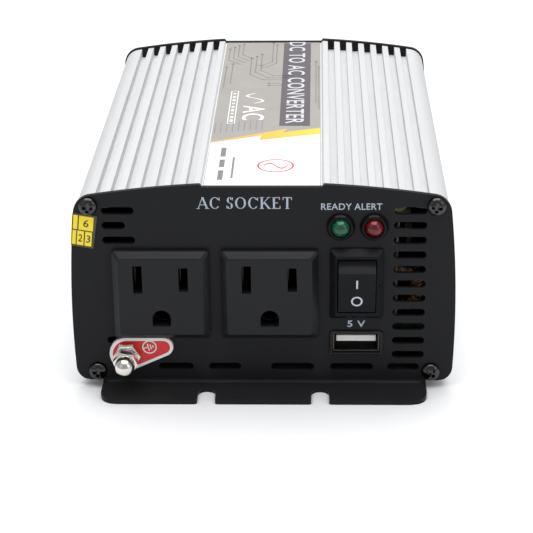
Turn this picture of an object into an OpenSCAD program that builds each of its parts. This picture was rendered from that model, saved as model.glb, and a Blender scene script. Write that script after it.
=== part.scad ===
// Small power inverter: extruded aluminium housing between two folded steel end panels.
// X runs to the right seen from the front, Y to the rear, Z up. Millimetres.
// The origin is the centre of the four mounting slots, on the surface the feet stand on.

/* [Case] */
// Width of the end panels at their widest
body_w = 107.5; // [106:0.5:135]
// Height of the crown above the mounting surface
body_h = 61.9; // [61:0.1:80]
// Length of the housing between the end panels
housing_len = 140; // [130:1:200]
// Thickness of the folded steel sheet
sheet_t = 1.4; // [1.2:0.1:1.7]
// Radius of the bosses that the panel screws turn into
boss_r = 2.9; // [2.4:0.1:3.4]
// Overhang of the end panels around the housing
rim = 0.5; // [0.2:0.1:0.6]
// Wall of the housing
wall_t = 2; // [1.6:0.1:2.4]
// Gap between the mounting surface and the panels' lower edge
body_lift = 1.7; // [1.5:0.1:2.2]
// Radius of the crowned top
crown_r = 315; // [250:5:400]
// Radius of the bulging sides
bulge_r = 312; // [250:5:400]
// Height at which the sides are widest
bulge_z = 20; // [15:1:30]
// Radius of the upper corners
top_corner_r = 5.5; // [4:0.5:6]
// Radius of the lower corners
low_corner_r = 4.5; // [3:0.5:5]

/* [Cooling fins] */
// Width of the flat channel along the top
channel_w = 32.8; // [28:0.2:34]
// Depth of that channel under the crown
channel_drop = 1.2; // [0.8:0.1:1.4]
// Width of a groove between two fins
groove_w = 2.2; // [1.6:0.1:2.6]
// Web of metal left under a groove
web_t = 1.3; // [1:0.1:2]
// Depth of a groove
groove_d = 3; // [2:0.1:3.4]
// Distance from groove to groove
groove_pitch = 4.15; // [3.8:0.05:4.2]
// Grooves on each side of the channel
groove_count = 7; // [4:1:7]
// Distance from the middle to the first groove
first_groove = 19.8; // [19:0.1:20]

/* [Feet] */
// Width of a foot
foot_w = 92; // [80:1:94]
// Reach of a foot in front of its panel
foot_reach = 11.3; // [10:0.1:15]
// Width of a mounting slot
slot_w = 5; // [4.5:0.1:6]
// Depth of a mounting slot from the foot's edge
slot_d = 7.5; // [7:0.1:9]
// Distance between the two slots of a foot
slot_pitch = 32; // [24:1:50]
// Radius of a foot's corners
foot_corner_r = 5.5; // [3:0.5:8]
// Inside radius of the fold
fold_r = 1; // [0.6:0.1:1.4]

/* [Panel screws] */
// Distance of the upper screws from the widest side
screw_in = 6.05; // [5.9:0.05:6.4]
// Distance of the upper screws under the crown
screw_down = 6.7; // [6.5:0.1:7]
// Distance of the lower screws from the widest side
low_screw_in = 6.45; // [6.2:0.05:7]
// Height of the lower screws
low_screw_z = 4.9; // [4.8:0.1:5.4]
// Diameter of a screw head
screw_head_d = 5.2; // [4.6:0.1:5.2]
// Height of a screw head
screw_head_h = 1.9; // [1.5:0.1:2.4]
// Length of a screw under its head
screw_len = 9; // [7:1:12]

/* [Vents] */
// Length of a side vent
vent_len = 9.1; // [7:0.1:9.4]
// Height of a vent
vent_h = 2.2; // [1.6:0.1:2.6]
// Distance from vent to vent
vent_pitch = 4.365; // [4:0.005:5]
// Distance of the side vents' middle from the widest side
vent_in = 13.05; // [12.6:0.05:14]
// Height of the lowest side vent
vent_z = 10.15; // [10:0.05:11]
// Height of the row of vents along the bottom
low_vent_z = 6.25; // [6:0.05:6.6]

/* [Outlets] */
// Width of an outlet's face
outlet_w = 26.9; // [26:0.1:28]
// Height of an outlet's face
outlet_h = 26.4; // [26:0.1:28]
// How far an outlet stands out of the panel
outlet_out = 3.2; // [2.5:0.1:4]
// Chamfer around an outlet's face
outlet_chamfer = 1.7; // [1:0.1:2]
// Depth of an outlet behind the panel
outlet_deep = 16; // [15:0.5:20]
// Distance of the first outlet from the widest side
outlet_in = 25.45; // [25.4:0.05:27]
// Distance from outlet to outlet
outlet_pitch = 30.2; // [29:0.1:31]
// Height of the outlets' middle
outlet_z = 29.2; // [29:0.1:31]
// Distance between the two blades
blade_gap = 12.7; // [12.7:0.1:12.8]
// Distance of the earth hole under the blades
earth_drop = 11.9; // [11.9:0.1:12]

/* [Switch] */
// Distance of the switch from the widest side
switch_in = 27.65; // [27:0.05:28]
// Height of the switch's middle
switch_z = 32.25; // [32:0.05:33]
// Width of the switch's frame
switch_w = 15; // [14.5:0.1:15.4]
// Height of the switch's frame
switch_h = 21.2; // [20.5:0.1:21.6]
// Width of the rocker
rocker_w = 10.3; // [9:0.1:10.6]
// Half the length of the rocker's face
rocker_half = 6.7; // [6:0.1:6.7]
// Full tilt from one side to the other
rocker_travel = 30; // [20:1:30]

/* [Indicators] */
// Distance of the two indicators under the crown
led_down = 11.61; // [11:0.01:12.5]
// Distance of the power indicator from the widest side
led_in = 32.2; // [32:0.1:33]
// Distance between the indicators
led_pitch = 9.2; // [9:0.1:9.5]
// Diameter of a lens
lens_d = 5; // [4.8:0.1:5.2]
// Diameter of an indicator's holder
holder_d = 8.2; // [7.8:0.1:8.6]

/* [Charging port] */
// Height of the port's middle
port_z = 14; // [13.9:0.1:14.4]
// Width of the port's frame
port_w = 15.1; // [14.8:0.1:15.6]
// Height of the port's frame
port_h = 7.3; // [7.2:0.1:7.8]

/* [Earth terminal] */
// Distance of the earth stud from the widest side
earth_in = 15.25; // [15:0.05:15.6]
// Height of the earth stud
earth_z = 10.8; // [10.7:0.1:11]
// Diameter of the earth stud
earth_d = 4; // [3.6:0.1:4.2]
// Width of its nut across the flats
earth_flats = 7; // [6.6:0.1:7.4]
// Width of its cap nut across the flats
cap_flats = 6.2; // [6:0.1:7.4]

/* [Rear side] */
// Side of the fan
fan_side = 40; // [36:1:41]
// Thickness of the fan
fan_t = 10; // [10:0.5:14]
// Place of the fan's middle, from the left
fan_x = -12; // [-14:1:-10]
// Height of the fan's middle
fan_z = 31; // [31:0.5:32]
// Distance of the terminals from the widest side
post_in = 12.75; // [12.5:0.25:15]
// Distance of the upper terminal under the crown
post_down = 11.22; // [11.2:0.01:13]
// Distance between the terminals
post_pitch = 22; // [19:1:24]
// Diameter of a terminal's stud
post_d = 6; // [5:0.1:6]
// Diameter of a terminal's knob
knob_d = 12; // [11:0.5:12]
// Length of a terminal's knob
knob_len = 13.5; // [13:0.5:16]

/* [Circuit board] */
// Thickness of the main board
board_t = 1.6; // [1.2:0.2:2]
// Height of the main board's underside
board_z = 8; // [7.8:0.1:8.2]

/* [Hidden] */
$fn = 48;
slip = 0.3;             // gap between pieces that move on each other
fit = 0.1;              // gap around pieces that are fitted into a hole
half_w = body_w / 2;
half_l = housing_len / 2;
face_y = -half_l - sheet_t;   // outer face of the front panel
back_y = half_l + sheet_t;    // outer face of the rear panel
crown_c = [0, body_h - crown_r];
bulge_c = [half_w - bulge_r, bulge_z];
steel = [0.13, 0.13, 0.14];
alloy = [0.82, 0.83, 0.84];
nickel = [0.78, 0.76, 0.72];
brass = [0.80, 0.65, 0.30];
copper = [0.72, 0.38, 0.20];
ferrite = [0.22, 0.22, 0.24];
resin = [0.16, 0.17, 0.19];
mask = [0.10, 0.35, 0.18];

// ---- shared shapes ----

// Extrudes a shape drawn in X and Z towards the rear.
module along_y(start, length) {
  translate([0, start + length, 0]) rotate([90, 0, 0]) linear_extrude(length) children();
}

// Extrudes a shape drawn in Y and Z to the right.
module along_x(start, length) {
  translate([start, 0, 0]) rotate([90, 0, 90]) linear_extrude(length) children();
}

// Round bar towards the rear.
module rod_y(r, start, length) {
  translate([0, start + length, 0]) rotate([90, 0, 0]) cylinder(r = r, h = length);
}

module round_rect(w, h, r) {
  square([w - 2 * r, h], center = true);
  square([w, h - 2 * r], center = true);
  for (x = [-1, 1], y = [-1, 1]) translate([x * (w / 2 - r), y * (h / 2 - r)]) circle(r);
}

module slot(w, h) {
  square([w - h, h], center = true);
  for (x = [-1, 1]) translate([x * (w - h) / 2, 0]) circle(h / 2);
}

// Block whose front edges slope: outer size at y = 0, smaller by the slope at the front.
module bevelled_block(w, h, out, slope, lip) {
  intersection() {
    along_x(-w / 2, w)
      polygon([[0, -h / 2], [-lip, -h / 2], [-out, -h / 2 + slope], [-out, h / 2 - slope],
        [-lip, h / 2], [0, h / 2]]);
    translate([0, 0, -h / 2]) linear_extrude(h)
      polygon([[-w / 2, 0], [-w / 2, -lip], [-w / 2 + slope, -out], [w / 2 - slope, -out],
        [w / 2, -lip], [w / 2, 0]]);
    along_y(-out, out) round_rect(w, h, 1.2);
  }
}

module hex_nut(flats, bore_r, start, thick, turn) {
  difference() {
    translate([0, start + thick, 0]) rotate([90, turn, 0])
      cylinder(r = flats / sqrt(3), h = thick, $fn = 6);
    rod_y(bore_r, start - 1, thick + 2);
  }
}

// Pan head screw with a cross recess; the head points up.
module pan_screw(head_d, head_h, shank_r, length) {
  dome_r = (pow(head_d / 2, 2) + pow(head_h * 0.75, 2)) / (1.5 * head_h);
  difference() {
    union() {
      intersection() {
        cylinder(d = head_d, h = head_h);
        translate([0, 0, head_h - dome_r]) sphere(dome_r);
      }
      translate([0, 0, -length]) cylinder(r = shank_r, h = length + head_h / 4);
    }
    for (turn = [0, 90]) rotate([0, 0, turn])
      translate([-head_d * 0.28, -head_d * 0.07, head_h * 0.4])
        cube([head_d * 0.56, head_d * 0.14, head_h]);
  }
}

// A lead that follows straight stretches, rounded at its bends.
module lead(points, r) {
  for (i = [0 : len(points) - 2]) {
    run = points[i + 1] - points[i];
    flat = norm([run[0], run[1]]);
    translate(points[i]) rotate([0, atan2(flat, run[2]), atan2(run[1], run[0])])
      cylinder(r = r, h = norm(run), $fn = 16);
    if (i > 0) translate(points[i]) sphere(1.08 * r, $fn = 16);
  }
}

// ---- the case outline ----

// Point where a circle around a and one around b cross, on the outer side.
function meet(a, ra, b, rb) =
  let(far = norm(b - a), u = (b - a) / far)
  let(t = (ra * ra - rb * rb + far * far) / (2 * far))
  a + t * u + sqrt(ra * ra - t * t) * [u[1], -u[0]];

function heading(v) = atan2(v[1], v[0]);

function arc(c, r, from, to, steps) =
  [for (i = [1 : steps]) let(a = from + (to - from) * i / steps) c + r * [cos(a), sin(a)]];

// Right half of the outline, from the middle of the crown down to the floor.
function half_outline(side, cap, low, top_r, low_r) =
  let(c1 = meet(crown_c, crown_r - cap - top_r, bulge_c, bulge_r - side - top_r))
  let(low_z = low + low_r, side_r = bulge_r - side)
  let(c2 = [bulge_c[0] + sqrt(pow(side_r - low_r, 2) - pow(low_z - bulge_z, 2)), low_z])
  let(a1 = heading(c1 - crown_c), a2 = heading(c1 - bulge_c), a3 = heading(c2 - bulge_c))
  concat([[0, body_h - cap]], arc(crown_c, crown_r - cap, 90, a1, 8), arc(c1, top_r, a1, a2, 7),
    arc(bulge_c, side_r, a2, a3, 9), arc(c2, low_r, a3, -90, 7));

module outline(side, cap, low, top_r, low_r) {
  right = half_outline(side, cap, low, top_r, low_r);
  polygon(concat(right, [for (i = [len(right) - 1 : -1 : 1]) [-right[i][0], right[i][1]]]));
}

module case_outline(inset) {
  outline(inset, inset, body_lift + inset, top_corner_r - inset, low_corner_r - inset);
}

function crown_at(x) = crown_c[1] + sqrt(pow(crown_r, 2) - x * x);

module channel_cut(depth) {
  half = channel_w / 2;
  flare = 0.75 * channel_drop;
  translate([0, body_h - depth])
    polygon([[-half, 0], [half, 0], [half + 2 * flare, 2 * channel_drop],
      [-half - 2 * flare, 2 * channel_drop]]);
}

// Screw centres, seen from the front.
screw_at = [for (x = [-1, 1])
  each [[x * (half_w - screw_in), body_h - screw_down], [x * (half_w - low_screw_in), low_screw_z]]];

// ---- housing ----

rail_in = 5.05;         // reach of the board rails from the widest side
rail_top_gap = 0.2;     // play above the board in its rails
rail_t = 1.6;
land_in = 4.45;         // flat inner faces that the transistors are clamped to
land_z = [14, 34];
land_x = half_w - land_in;
clamp_hole_r = 1.5;
transistor_w = 10;
transistor_gap = 4;
transistor_y = 6;       // middle of the row of transistors
transistor_step = transistor_w + transistor_gap;
clamp_z = 24;

module inner_ribs() {
  for (at = screw_at) translate(at) circle(boss_r);
  for (x = [-1, 1]) {
    translate([x * (half_w - rail_in / 2), board_z - rail_t / 2])
      square([rail_in, rail_t], center = true);
    translate([x * (half_w - rail_in / 2), board_z + board_t + rail_top_gap + rail_t / 2])
      square([rail_in, rail_t], center = true);
    translate([x * (half_w - land_in / 2), (land_z[0] + land_z[1]) / 2])
      square([land_in, land_z[1] - land_z[0]], center = true);
  }
}

module housing() {
  color(alloy) difference() {
    along_y(-half_l, housing_len) difference() {
      case_outline(rim);
      difference() {
        outline(rim + wall_t, rim + groove_d + web_t, body_lift + rim + wall_t, 1.5, 1.5);
        inner_ribs();
      }
      channel_cut(channel_drop + rim);
      for (x = [-1, 1], i = [0 : groove_count - 1]) {
        at = first_groove + i * groove_pitch;
        translate([x * at - groove_w / 2, crown_at(at) - rim - groove_d])
          square([groove_w, groove_d + 2]);
      }
    }
    for (at = screw_at) translate([at[0], 0, at[1]]) {
      rod_y(1.25, -half_l - 1, screw_len + 4);
      rod_y(1.25, half_l - screw_len - 3, screw_len + 4);
    }
    for (side = [-1, 1], i = [-0.5, 0.5])
      translate([side * (land_x + 1.1), transistor_y + i * transistor_step, clamp_z])
        rotate([0, 90, 0]) cylinder(r = clamp_hole_r, h = 2.4, center = true);
  }
}

module top_label() {
  label_t = 0.3;
  color([0.62, 0.60, 0.58])
    translate([-channel_w / 2 + 0.3, -half_l + 0.5, body_h - channel_drop - rim])
      cube([channel_w - 0.6, housing_len - 1, label_t]);
}

sticker_t = 0.2;
sticker_z = [41.8, 52.3];
sticker_reach = 6.2;    // onto the panel's face
sticker_side = 11;      // along the housing's side

module date_sticker() {
  color([0.93, 0.80, 0.10]) intersection() {
    union() {
      along_y(face_y - sticker_t, sticker_t) case_outline(-sticker_t);
      along_y(face_y - sticker_t, sticker_side) difference() {
        case_outline(-sticker_t);
        case_outline(0);
      }
    }
    translate([-half_w - 1, face_y - 1, sticker_z[0]])
      cube([sticker_reach + 2.3, sticker_side + 2, sticker_z[1] - sticker_z[0]]);
  }
}

// ---- end panels ----

relief = 0.8;           // cut beside the fold, so that the sheet does not tear
screw_hole_r = 1.7;

// One folded panel facing the front; the children are its cut-outs, drawn in X and Z.
module end_panel() {
  foot_edge = face_y - foot_reach;
  fold = fold_r + sheet_t;
  color(steel) {
    along_y(face_y, sheet_t) difference() {
      case_outline(0);
      channel_cut(channel_drop);
      translate([-foot_w / 2 - relief, 0]) square([foot_w + 2 * relief, fold]);
      for (at = screw_at) translate(at) circle(screw_hole_r);
      children();
    }
    along_x(-foot_w / 2, foot_w) intersection() {
      translate([face_y - fold_r, fold]) difference() {
        circle(fold);
        circle(fold_r);
      }
      translate([face_y - fold_r, 0]) square([fold, fold]);
    }
    linear_extrude(sheet_t) difference() {
      foot_plate(foot_edge);
      for (x = [-1, 1]) {
        translate([x * slot_pitch / 2, foot_edge + slot_d - slot_w / 2]) circle(slot_w / 2);
        translate([x * slot_pitch / 2 - slot_w / 2, foot_edge - 1])
          square([slot_w, slot_d - slot_w / 2 + 1]);
      }
    }
  }
}

// Plate with round front corners, from its front edge to the fold.
module foot_plate(front) {
  long = foot_reach - fold_r;
  r = foot_corner_r;
  translate([-foot_w / 2 + r, front]) square([foot_w - 2 * r, long]);
  translate([-foot_w / 2, front + r]) square([foot_w, long - r]);
  for (x = [-1, 1]) translate([x * (foot_w / 2 - r), front + r]) circle(r);
}

outlet_x = [-half_w + outlet_in, -half_w + outlet_in + outlet_pitch];
switch_x = half_w - switch_in;
led_x = [half_w - led_in, half_w - led_in + led_pitch];
led_z = crown_at((led_x[0] + led_x[1]) / 2) - led_down;
vent_x = half_w - vent_in;
earth_x = -half_w + earth_in;
outlet_body_w = outlet_w - 2.4;
outlet_body_h = outlet_h - 2.4;
switch_body_w = switch_w - 2.2;
switch_body_h = switch_h - 2.4;
port_body_w = 13.9;
port_body_h = 6.4;
holder_stem_r = 3.1;
vent_top = 7.8;         // sheet left above the highest vent's middle
vent_count = floor((body_h - vent_top - vent_z) / vent_pitch) + 1;

// Row and length of each vent on the front's left side; the low ones stay beside the earth stud.
left_vents = [[0, 3], [1, 3], [8, vent_len], [9, vent_len - 2.6], [10, vent_len]];

module low_vent(x, w) {
  translate([x, low_vent_z]) slot(w, vent_h);
}

module front_panel() {
  end_panel() {
    for (x = outlet_x) translate([x, outlet_z])
      square([outlet_body_w + 2 * fit, outlet_body_h + 2 * fit], center = true);
    translate([switch_x, switch_z])
      square([switch_body_w + 2 * fit, switch_body_h + 2 * fit], center = true);
    translate([switch_x, port_z])
      square([port_body_w + 2 * fit, port_body_h + 2 * fit], center = true);
    for (x = led_x) translate([x, led_z]) circle(holder_stem_r + fit);
    translate([earth_x, earth_z]) circle(earth_d / 2 + 2 * fit);
    for (i = [0 : vent_count - 1])
      translate([vent_x, vent_z + i * vent_pitch]) slot(vent_len, vent_h);
    for (row = left_vents)
      translate([row[1] / 2 - vent_x - vent_len / 2 + 1, vent_z + row[0] * vent_pitch])
        slot(row[1], vent_h);
    low_vent(-half_w + 28.8, 10);
    low_vent(-half_w + 42.7, 9.2);
    low_vent(half_w - 45.6, 12.2);
    low_vent(half_w - 28.85, 12.2);
    low_vent(half_w - 14.3, 9);
  }
}

fan_hole_r = fan_side / 2 - 1.5;
fan_bolt = 0.4 * fan_side;
post_x = half_w - post_in;
post_z = crown_at(post_x) - post_down;
collar_r = 4.4;

module rear_panel() {
  mirror([0, 1, 0]) end_panel() {
    translate([fan_x, fan_z]) circle(fan_hole_r);
    for (x = [-1, 1], z = [-1, 1]) translate([fan_x + x * fan_bolt, fan_z + z * fan_bolt])
      circle(screw_hole_r);
    for (i = [0, 1]) translate([post_x, post_z - i * post_pitch]) circle(collar_r + fit);
    for (i = [1 : vent_count - 2])
      translate([-vent_x, vent_z + i * vent_pitch]) slot(vent_len, vent_h);
    for (i = [0 : 4]) low_vent(-half_w + 25 + i * 14, 9.2);
  }
}

module panel_screws() {
  for (at = screw_at) translate([at[0], face_y, at[1]]) rotate([90, 0, 0])
    pan_screw(screw_head_d, screw_head_h, 1.15, screw_len);
}

module front_panel_screws() {
  color(steel) panel_screws();
}

module rear_panel_screws() {
  color(steel) mirror([0, 1, 0]) panel_screws();
}

// ---- outlets ----

blade_z = 5.3;          // blades above the outlet's middle
blade_t = 2.5;
blade_l = [8.2, 7];     // neutral and live slot
earth_r = 2.55;
face_wall = 3;          // plastic behind the outlet's face
chamber_w = 4.2;
chamber_h = 9.8;
chamber_r = 3.6;

module outlet(x) {
  color(resin) translate([x, face_y, outlet_z]) difference() {
    union() {
      bevelled_block(outlet_w, outlet_h, outlet_out, outlet_chamfer, outlet_out - outlet_chamfer);
      along_y(0, outlet_deep) square([outlet_body_w, outlet_body_h], center = true);
    }
    for (i = [0, 1]) {
      at = (i - 0.5) * blade_gap;
      along_y(-outlet_out - 1, face_wall + 2) translate([at, blade_z])
        square([blade_t, blade_l[i]], center = true);
      along_y(face_wall - outlet_out, outlet_deep + 2) translate([at, blade_z])
        square([chamber_w, chamber_h], center = true);
    }
    translate([0, 0, blade_z - earth_drop]) {
      rod_y(earth_r, -outlet_out - 1, face_wall + 2);
      along_y(-outlet_out - 1, face_wall + 2) translate([-earth_r, -earth_r])
        square([2 * earth_r, earth_r]);
      rod_y(chamber_r, face_wall - outlet_out, outlet_deep + 2);
    }
  }
}

leaf_t = 0.6;
leaf_gap = 1.9;
tail_len = 6;

module outlet_contacts(x) {
  leaf_h = chamber_h - 4 * fit;
  leaf_start = 2.2;
  leaf_end = outlet_deep - 1;
  color(brass) translate([x, face_y, outlet_z]) {
    for (i = [-0.5, 0.5]) translate([i * blade_gap, 0, blade_z]) {
      for (side = [-1, 1]) along_y(leaf_start, leaf_end - leaf_start)
        translate([side * (leaf_gap + leaf_t) / 2, 0]) square([leaf_t, leaf_h], center = true);
      along_y(leaf_end - leaf_t, leaf_t) square([leaf_gap + 2 * leaf_t, leaf_h], center = true);
      along_y(leaf_end - leaf_t, tail_len + leaf_t) square([leaf_t, 4], center = true);
    }
    translate([0, 0, blade_z - earth_drop]) {
      difference() {
        rod_y(chamber_r - 2 * fit, leaf_start, leaf_end - leaf_start);
        rod_y(earth_r + fit, leaf_start - 1, leaf_end - leaf_start + 0.4);
      }
      along_y(leaf_end - leaf_t, tail_len + leaf_t) square([4, leaf_t], center = true);
    }
  }
}

// ---- switch ----

switch_out = 2.4;
switch_deep = 12;
well_w = rocker_w + 2 * slip;
well_h = 16.2;
well_floor = switch_deep - 1.5;
pivot_y = -0.9;         // rocker pivot from the panel's face
rocker_face = 3.6;      // crease of the rocker's face from the pivot
rocker_dish = 0.4;
rocker_tail = 5.5;
tail_half = 3;
rocker_back = 68;       // direction in which the round ends stop
pin_r = 1;
arm_front = 7.5;        // resting plane of the contact arm
arm_t = 0.6;
arm_half = 4.4;
arm_travel = 16;
terminal_t = 0.8;
terminal_w = 4.8;
terminal_z = [0, -6];

module at_switch() {
  translate([switch_x, face_y, switch_z]) children();
}

module switch_housing() {
  color(resin) at_switch() difference() {
    union() {
      bevelled_block(switch_w, switch_h, switch_out, 1.6, 0.5);
      along_y(0, switch_deep) square([switch_body_w, switch_body_h], center = true);
    }
    along_y(-switch_out - 1, well_floor + switch_out + 1) square([well_w, well_h], center = true);
    translate([0, pivot_y, 0]) rotate([0, 90, 0])
      cylinder(r = pin_r + fit, h = well_w + 2, center = true);
    for (z = terminal_z) along_y(well_floor - 1, 4) translate([0, z])
      square([terminal_w + 2 * fit, terminal_t + 2 * fit], center = true);
  }
}

// Outline of the rocker around its pivot, level position.
function rocker_outline() =
  let(tip = [-rocker_face - rocker_dish, rocker_half], r = norm(tip))
  let(side = concat([tip], arc([0, 0], r, heading(tip), rocker_back, 8), [[rocker_tail, tail_half]]))
  concat([[-rocker_face, 0]], side, [for (i = [len(side) - 1 : -1 : 0]) [side[i][0], -side[i][1]]]);

module switch_rocker() {
  color(resin) at_switch() translate([0, pivot_y, 0]) rotate([rocker_travel / 2, 0, 0])
    difference() {
      union() {
        along_x(-rocker_w / 2, rocker_w) polygon(rocker_outline());
        rotate([0, 90, 0]) cylinder(r = pin_r, h = well_w + 1.2, center = true);
      }
      rod_y(1.2, 1.5, 6);
    }
}

module switch_plunger() {
  color(brass) at_switch() translate([0, pivot_y, 0]) rotate([rocker_travel / 2, 0, 0]) {
    rod_y(1.1, 1.7, 5.5);
    translate([0, 7.2, 0]) sphere(0.8);
  }
}

module switch_arm() {
  color(brass) at_switch() translate([0, arm_front + arm_t / 2, 0])
    rotate([-arm_travel / 2, 0, 0]) cube([4, arm_t, 2 * arm_half], center = true);
}

module switch_terminals() {
  reach = [arm_front + arm_t + slip, 9.3];
  color(brass) at_switch() for (i = [0, 1])
    along_y(reach[i], switch_deep + 7 - reach[i]) translate([0, terminal_z[i]])
      square([terminal_w, terminal_t], center = true);
}

// ---- indicators ----

holder_out = 1.6;
led_tip = 3.4;          // lens in front of the panel
lens_start = 6;         // foot of the lens behind the panel
led_board_t = 1.2;

module led_holder(x) {
  color(resin) translate([x, face_y, led_z]) difference() {
    union() {
      rod_y(holder_d / 2 - 0.5, -holder_out, holder_out);
      rod_y(holder_d / 2, -holder_out / 2, holder_out / 2);
      rod_y(holder_stem_r, -0.1, 5.1);
    }
    rod_y(lens_d / 2 + fit, -holder_out - 1, holder_out + 7);
  }
}

module led(x, tint) {
  color(tint) translate([x, face_y, led_z]) {
    rod_y(lens_d / 2, -led_tip + lens_d / 2, led_tip + lens_start - lens_d / 2);
    intersection() {
      translate([0, -led_tip + lens_d / 2, 0]) sphere(lens_d / 2);
      rod_y(lens_d, -led_tip - 1, lens_d / 2 + 1);
    }
    rod_y(lens_d / 2 + 0.4, lens_start - 1, 1);
    for (side = [-1.27, 1.27]) translate([side, 0, 0]) rod_y(0.25, lens_start, 4);
  }
}

module led_board() {
  color(mask) translate([(led_x[0] + led_x[1]) / 2, face_y + lens_start + 3.2, led_z])
    difference() {
      along_y(0, led_board_t) square([led_pitch + 10, 9], center = true);
      for (i = [-0.5, 0.5], side = [-1.27, 1.27]) translate([i * led_pitch + side, 0, 0])
        rod_y(0.35, -1, led_board_t + 2);
    }
}

// ---- charging port ----

port_out = 1;
port_metal_w = 13.1;
port_metal_h = 5.7;
port_metal_t = 0.4;
port_deep = 13;
port_stem = 3;

module at_port() {
  translate([switch_x, face_y, port_z]) children();
}

module port_frame() {
  color(resin) at_port() difference() {
    union() {
      bevelled_block(port_w, port_h, port_out, 0.3, port_out - 0.3);
      along_y(0, port_stem) square([port_body_w, port_body_h], center = true);
    }
    along_y(-port_out - 1, 6) square([port_metal_w + 2 * fit, port_metal_h + 2 * fit], center = true);
  }
}

module port_shell() {
  inner = [port_metal_w - 2 * port_metal_t, port_metal_h - 2 * port_metal_t];
  color(nickel) at_port() difference() {
    along_y(0, port_deep) square([port_metal_w, port_metal_h], center = true);
    along_y(-1, port_deep) square(inner, center = true);
  }
}

module port_tongue() {
  tongue_t = 1.9;
  top = port_metal_h / 2 - port_metal_t - 0.7;
  color([0.93, 0.93, 0.91]) at_port() {
    along_y(1, port_deep - 2) translate([-5.6, top - tongue_t]) square([11.2, tongue_t]);
    along_y(port_deep - 3, 2) square([port_metal_w - 2 * port_metal_t - 2 * fit,
      port_metal_h - 2 * port_metal_t - 2 * fit], center = true);
  }
}

module port_board() {
  side = 18;
  thick = 1.2;
  color(mask) at_port() translate([-side / 2, port_stem + slip, -port_metal_h / 2 - thick])
    cube([side, side, thick]);
}

// ---- earth terminal ----

tag_t = 1.6;
earth_nut_t = 3;
spring_washer_t = 0.7;
cap_hex_t = 3;
cap_dome_r = 2.8;
nut_clear = 0.05;

module at_earth() {
  translate([earth_x, face_y, earth_z]) children();
}

module earth_stud() {
  front = tag_t + earth_nut_t + spring_washer_t + cap_hex_t;
  color(nickel) at_earth() {
    rod_y(earth_d / 2, -front + 0.4, front + sheet_t);
    translate([0, sheet_t, 0]) hex_nut(earth_flats, 0.01, 0, 2.8, 30);
    rod_y(1, sheet_t - 0.5, 2);
  }
}

// Plate around the stud with a smaller round end, level along its top.
module earth_tag() {
  big = 5.1;
  small = 2.9;
  far = 10.1;
  rise = big - small;
  slant = asin((big - small) / norm([far, rise]));
  lean = atan2(rise, far);
  low_dir = [sin(lean + slant), -cos(lean + slant)];
  color([0.80, 0.12, 0.10]) at_earth() difference() {
    along_y(-tag_t, tag_t) {
      circle(big);
      translate([far, rise]) circle(small);
      polygon([[0, big], [far, rise + small], [far, rise] + small * low_dir, big * low_dir]);
    }
    rod_y(earth_d / 2 + fit, -tag_t - 1, tag_t + 2);
  }
}

module earth_nut() {
  color(nickel) at_earth()
    hex_nut(earth_flats, earth_d / 2 + nut_clear, -tag_t - earth_nut_t, earth_nut_t, 26);
}

module earth_spring_washer() {
  color(nickel) at_earth() translate([0, -tag_t - earth_nut_t - spring_washer_t, 0]) difference() {
    rod_y(3.4, 0, spring_washer_t);
    rod_y(earth_d / 2 + 2 * fit, -1, spring_washer_t + 2);
    translate([2, 0, 2]) rotate([0, -35, 0]) cube([4, 4, 0.5], center = true);
  }
}

module earth_cap_nut() {
  base = -tag_t - earth_nut_t - spring_washer_t;
  color(nickel) at_earth() difference() {
    union() {
      hex_nut(cap_flats, 0.01, base - cap_hex_t, cap_hex_t, 38);
      rod_y(cap_dome_r, base - cap_hex_t - 1.2, cap_hex_t);
      translate([0, base - cap_hex_t - 1.2, 0]) sphere(cap_dome_r);
    }
    rod_y(earth_d / 2 + nut_clear, base - cap_hex_t, cap_hex_t + 1);
  }
}

// ---- fan ----

fan_start = half_l - fan_t;   // inner side of the fan
duct_r = fan_side / 2 - 1;
hub_r = 8.5;
blade_count = 7;
shaft_r = 1;

module at_fan() {
  translate([fan_x, 0, fan_z]) children();
}

module fan_frame() {
  color([0.09, 0.09, 0.10]) at_fan() {
    difference() {
      along_y(fan_start, fan_t) round_rect(fan_side, fan_side, 2.5);
      rod_y(duct_r, fan_start - 1, fan_t + 2);
      for (x = [-1, 1], z = [-1, 1]) translate([x * fan_bolt, 0, z * fan_bolt])
        rod_y(1.75, fan_start - 1, fan_t + 2);
    }
    difference() {
      union() {
        rod_y(hub_r - 0.3, fan_start, 1.6);
        for (turn = [90, 210, 330]) rotate([0, turn, 0])
          translate([0, fan_start, -1.4]) cube([duct_r + 0.4, 1.6, 2.8]);
      }
      rod_y(1.6, fan_start - 1, 4);
    }
  }
}

module fan_stator() {
  color(copper) at_fan() difference() {
    union() {
      rod_y(6.6, fan_start + 1.6, 4.6);
      rod_y(1.5, fan_start, 2);
    }
    rod_y(shaft_r + fit, fan_start - 1, 8);
  }
}

module fan_rotor() {
  start = fan_start + 2.2;
  deep = fan_t - 3;
  color([0.11, 0.11, 0.12]) at_fan() {
    difference() {
      rod_y(hub_r, start, deep);
      rod_y(hub_r - 1.2, start - 1, deep - 0.4);
    }
    rod_y(shaft_r, fan_start + 0.4, deep + 1.2);
    difference() {
      intersection() {
        rod_y(duct_r - 0.7, start, deep);
        union() for (i = [0 : blade_count - 1]) rotate([0, i * 360 / blade_count, 0])
          translate([0, start + deep / 2, 0]) rotate([38, 0, 0])
            translate([0, -6, -0.5]) cube([duct_r, 12, 1]);
      }
      rod_y(hub_r - 0.4, start - 1, deep + 2);
    }
  }
}

guard_t = 1.5;
guard_w = 1.5;          // width of a ring and of a spoke

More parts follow.
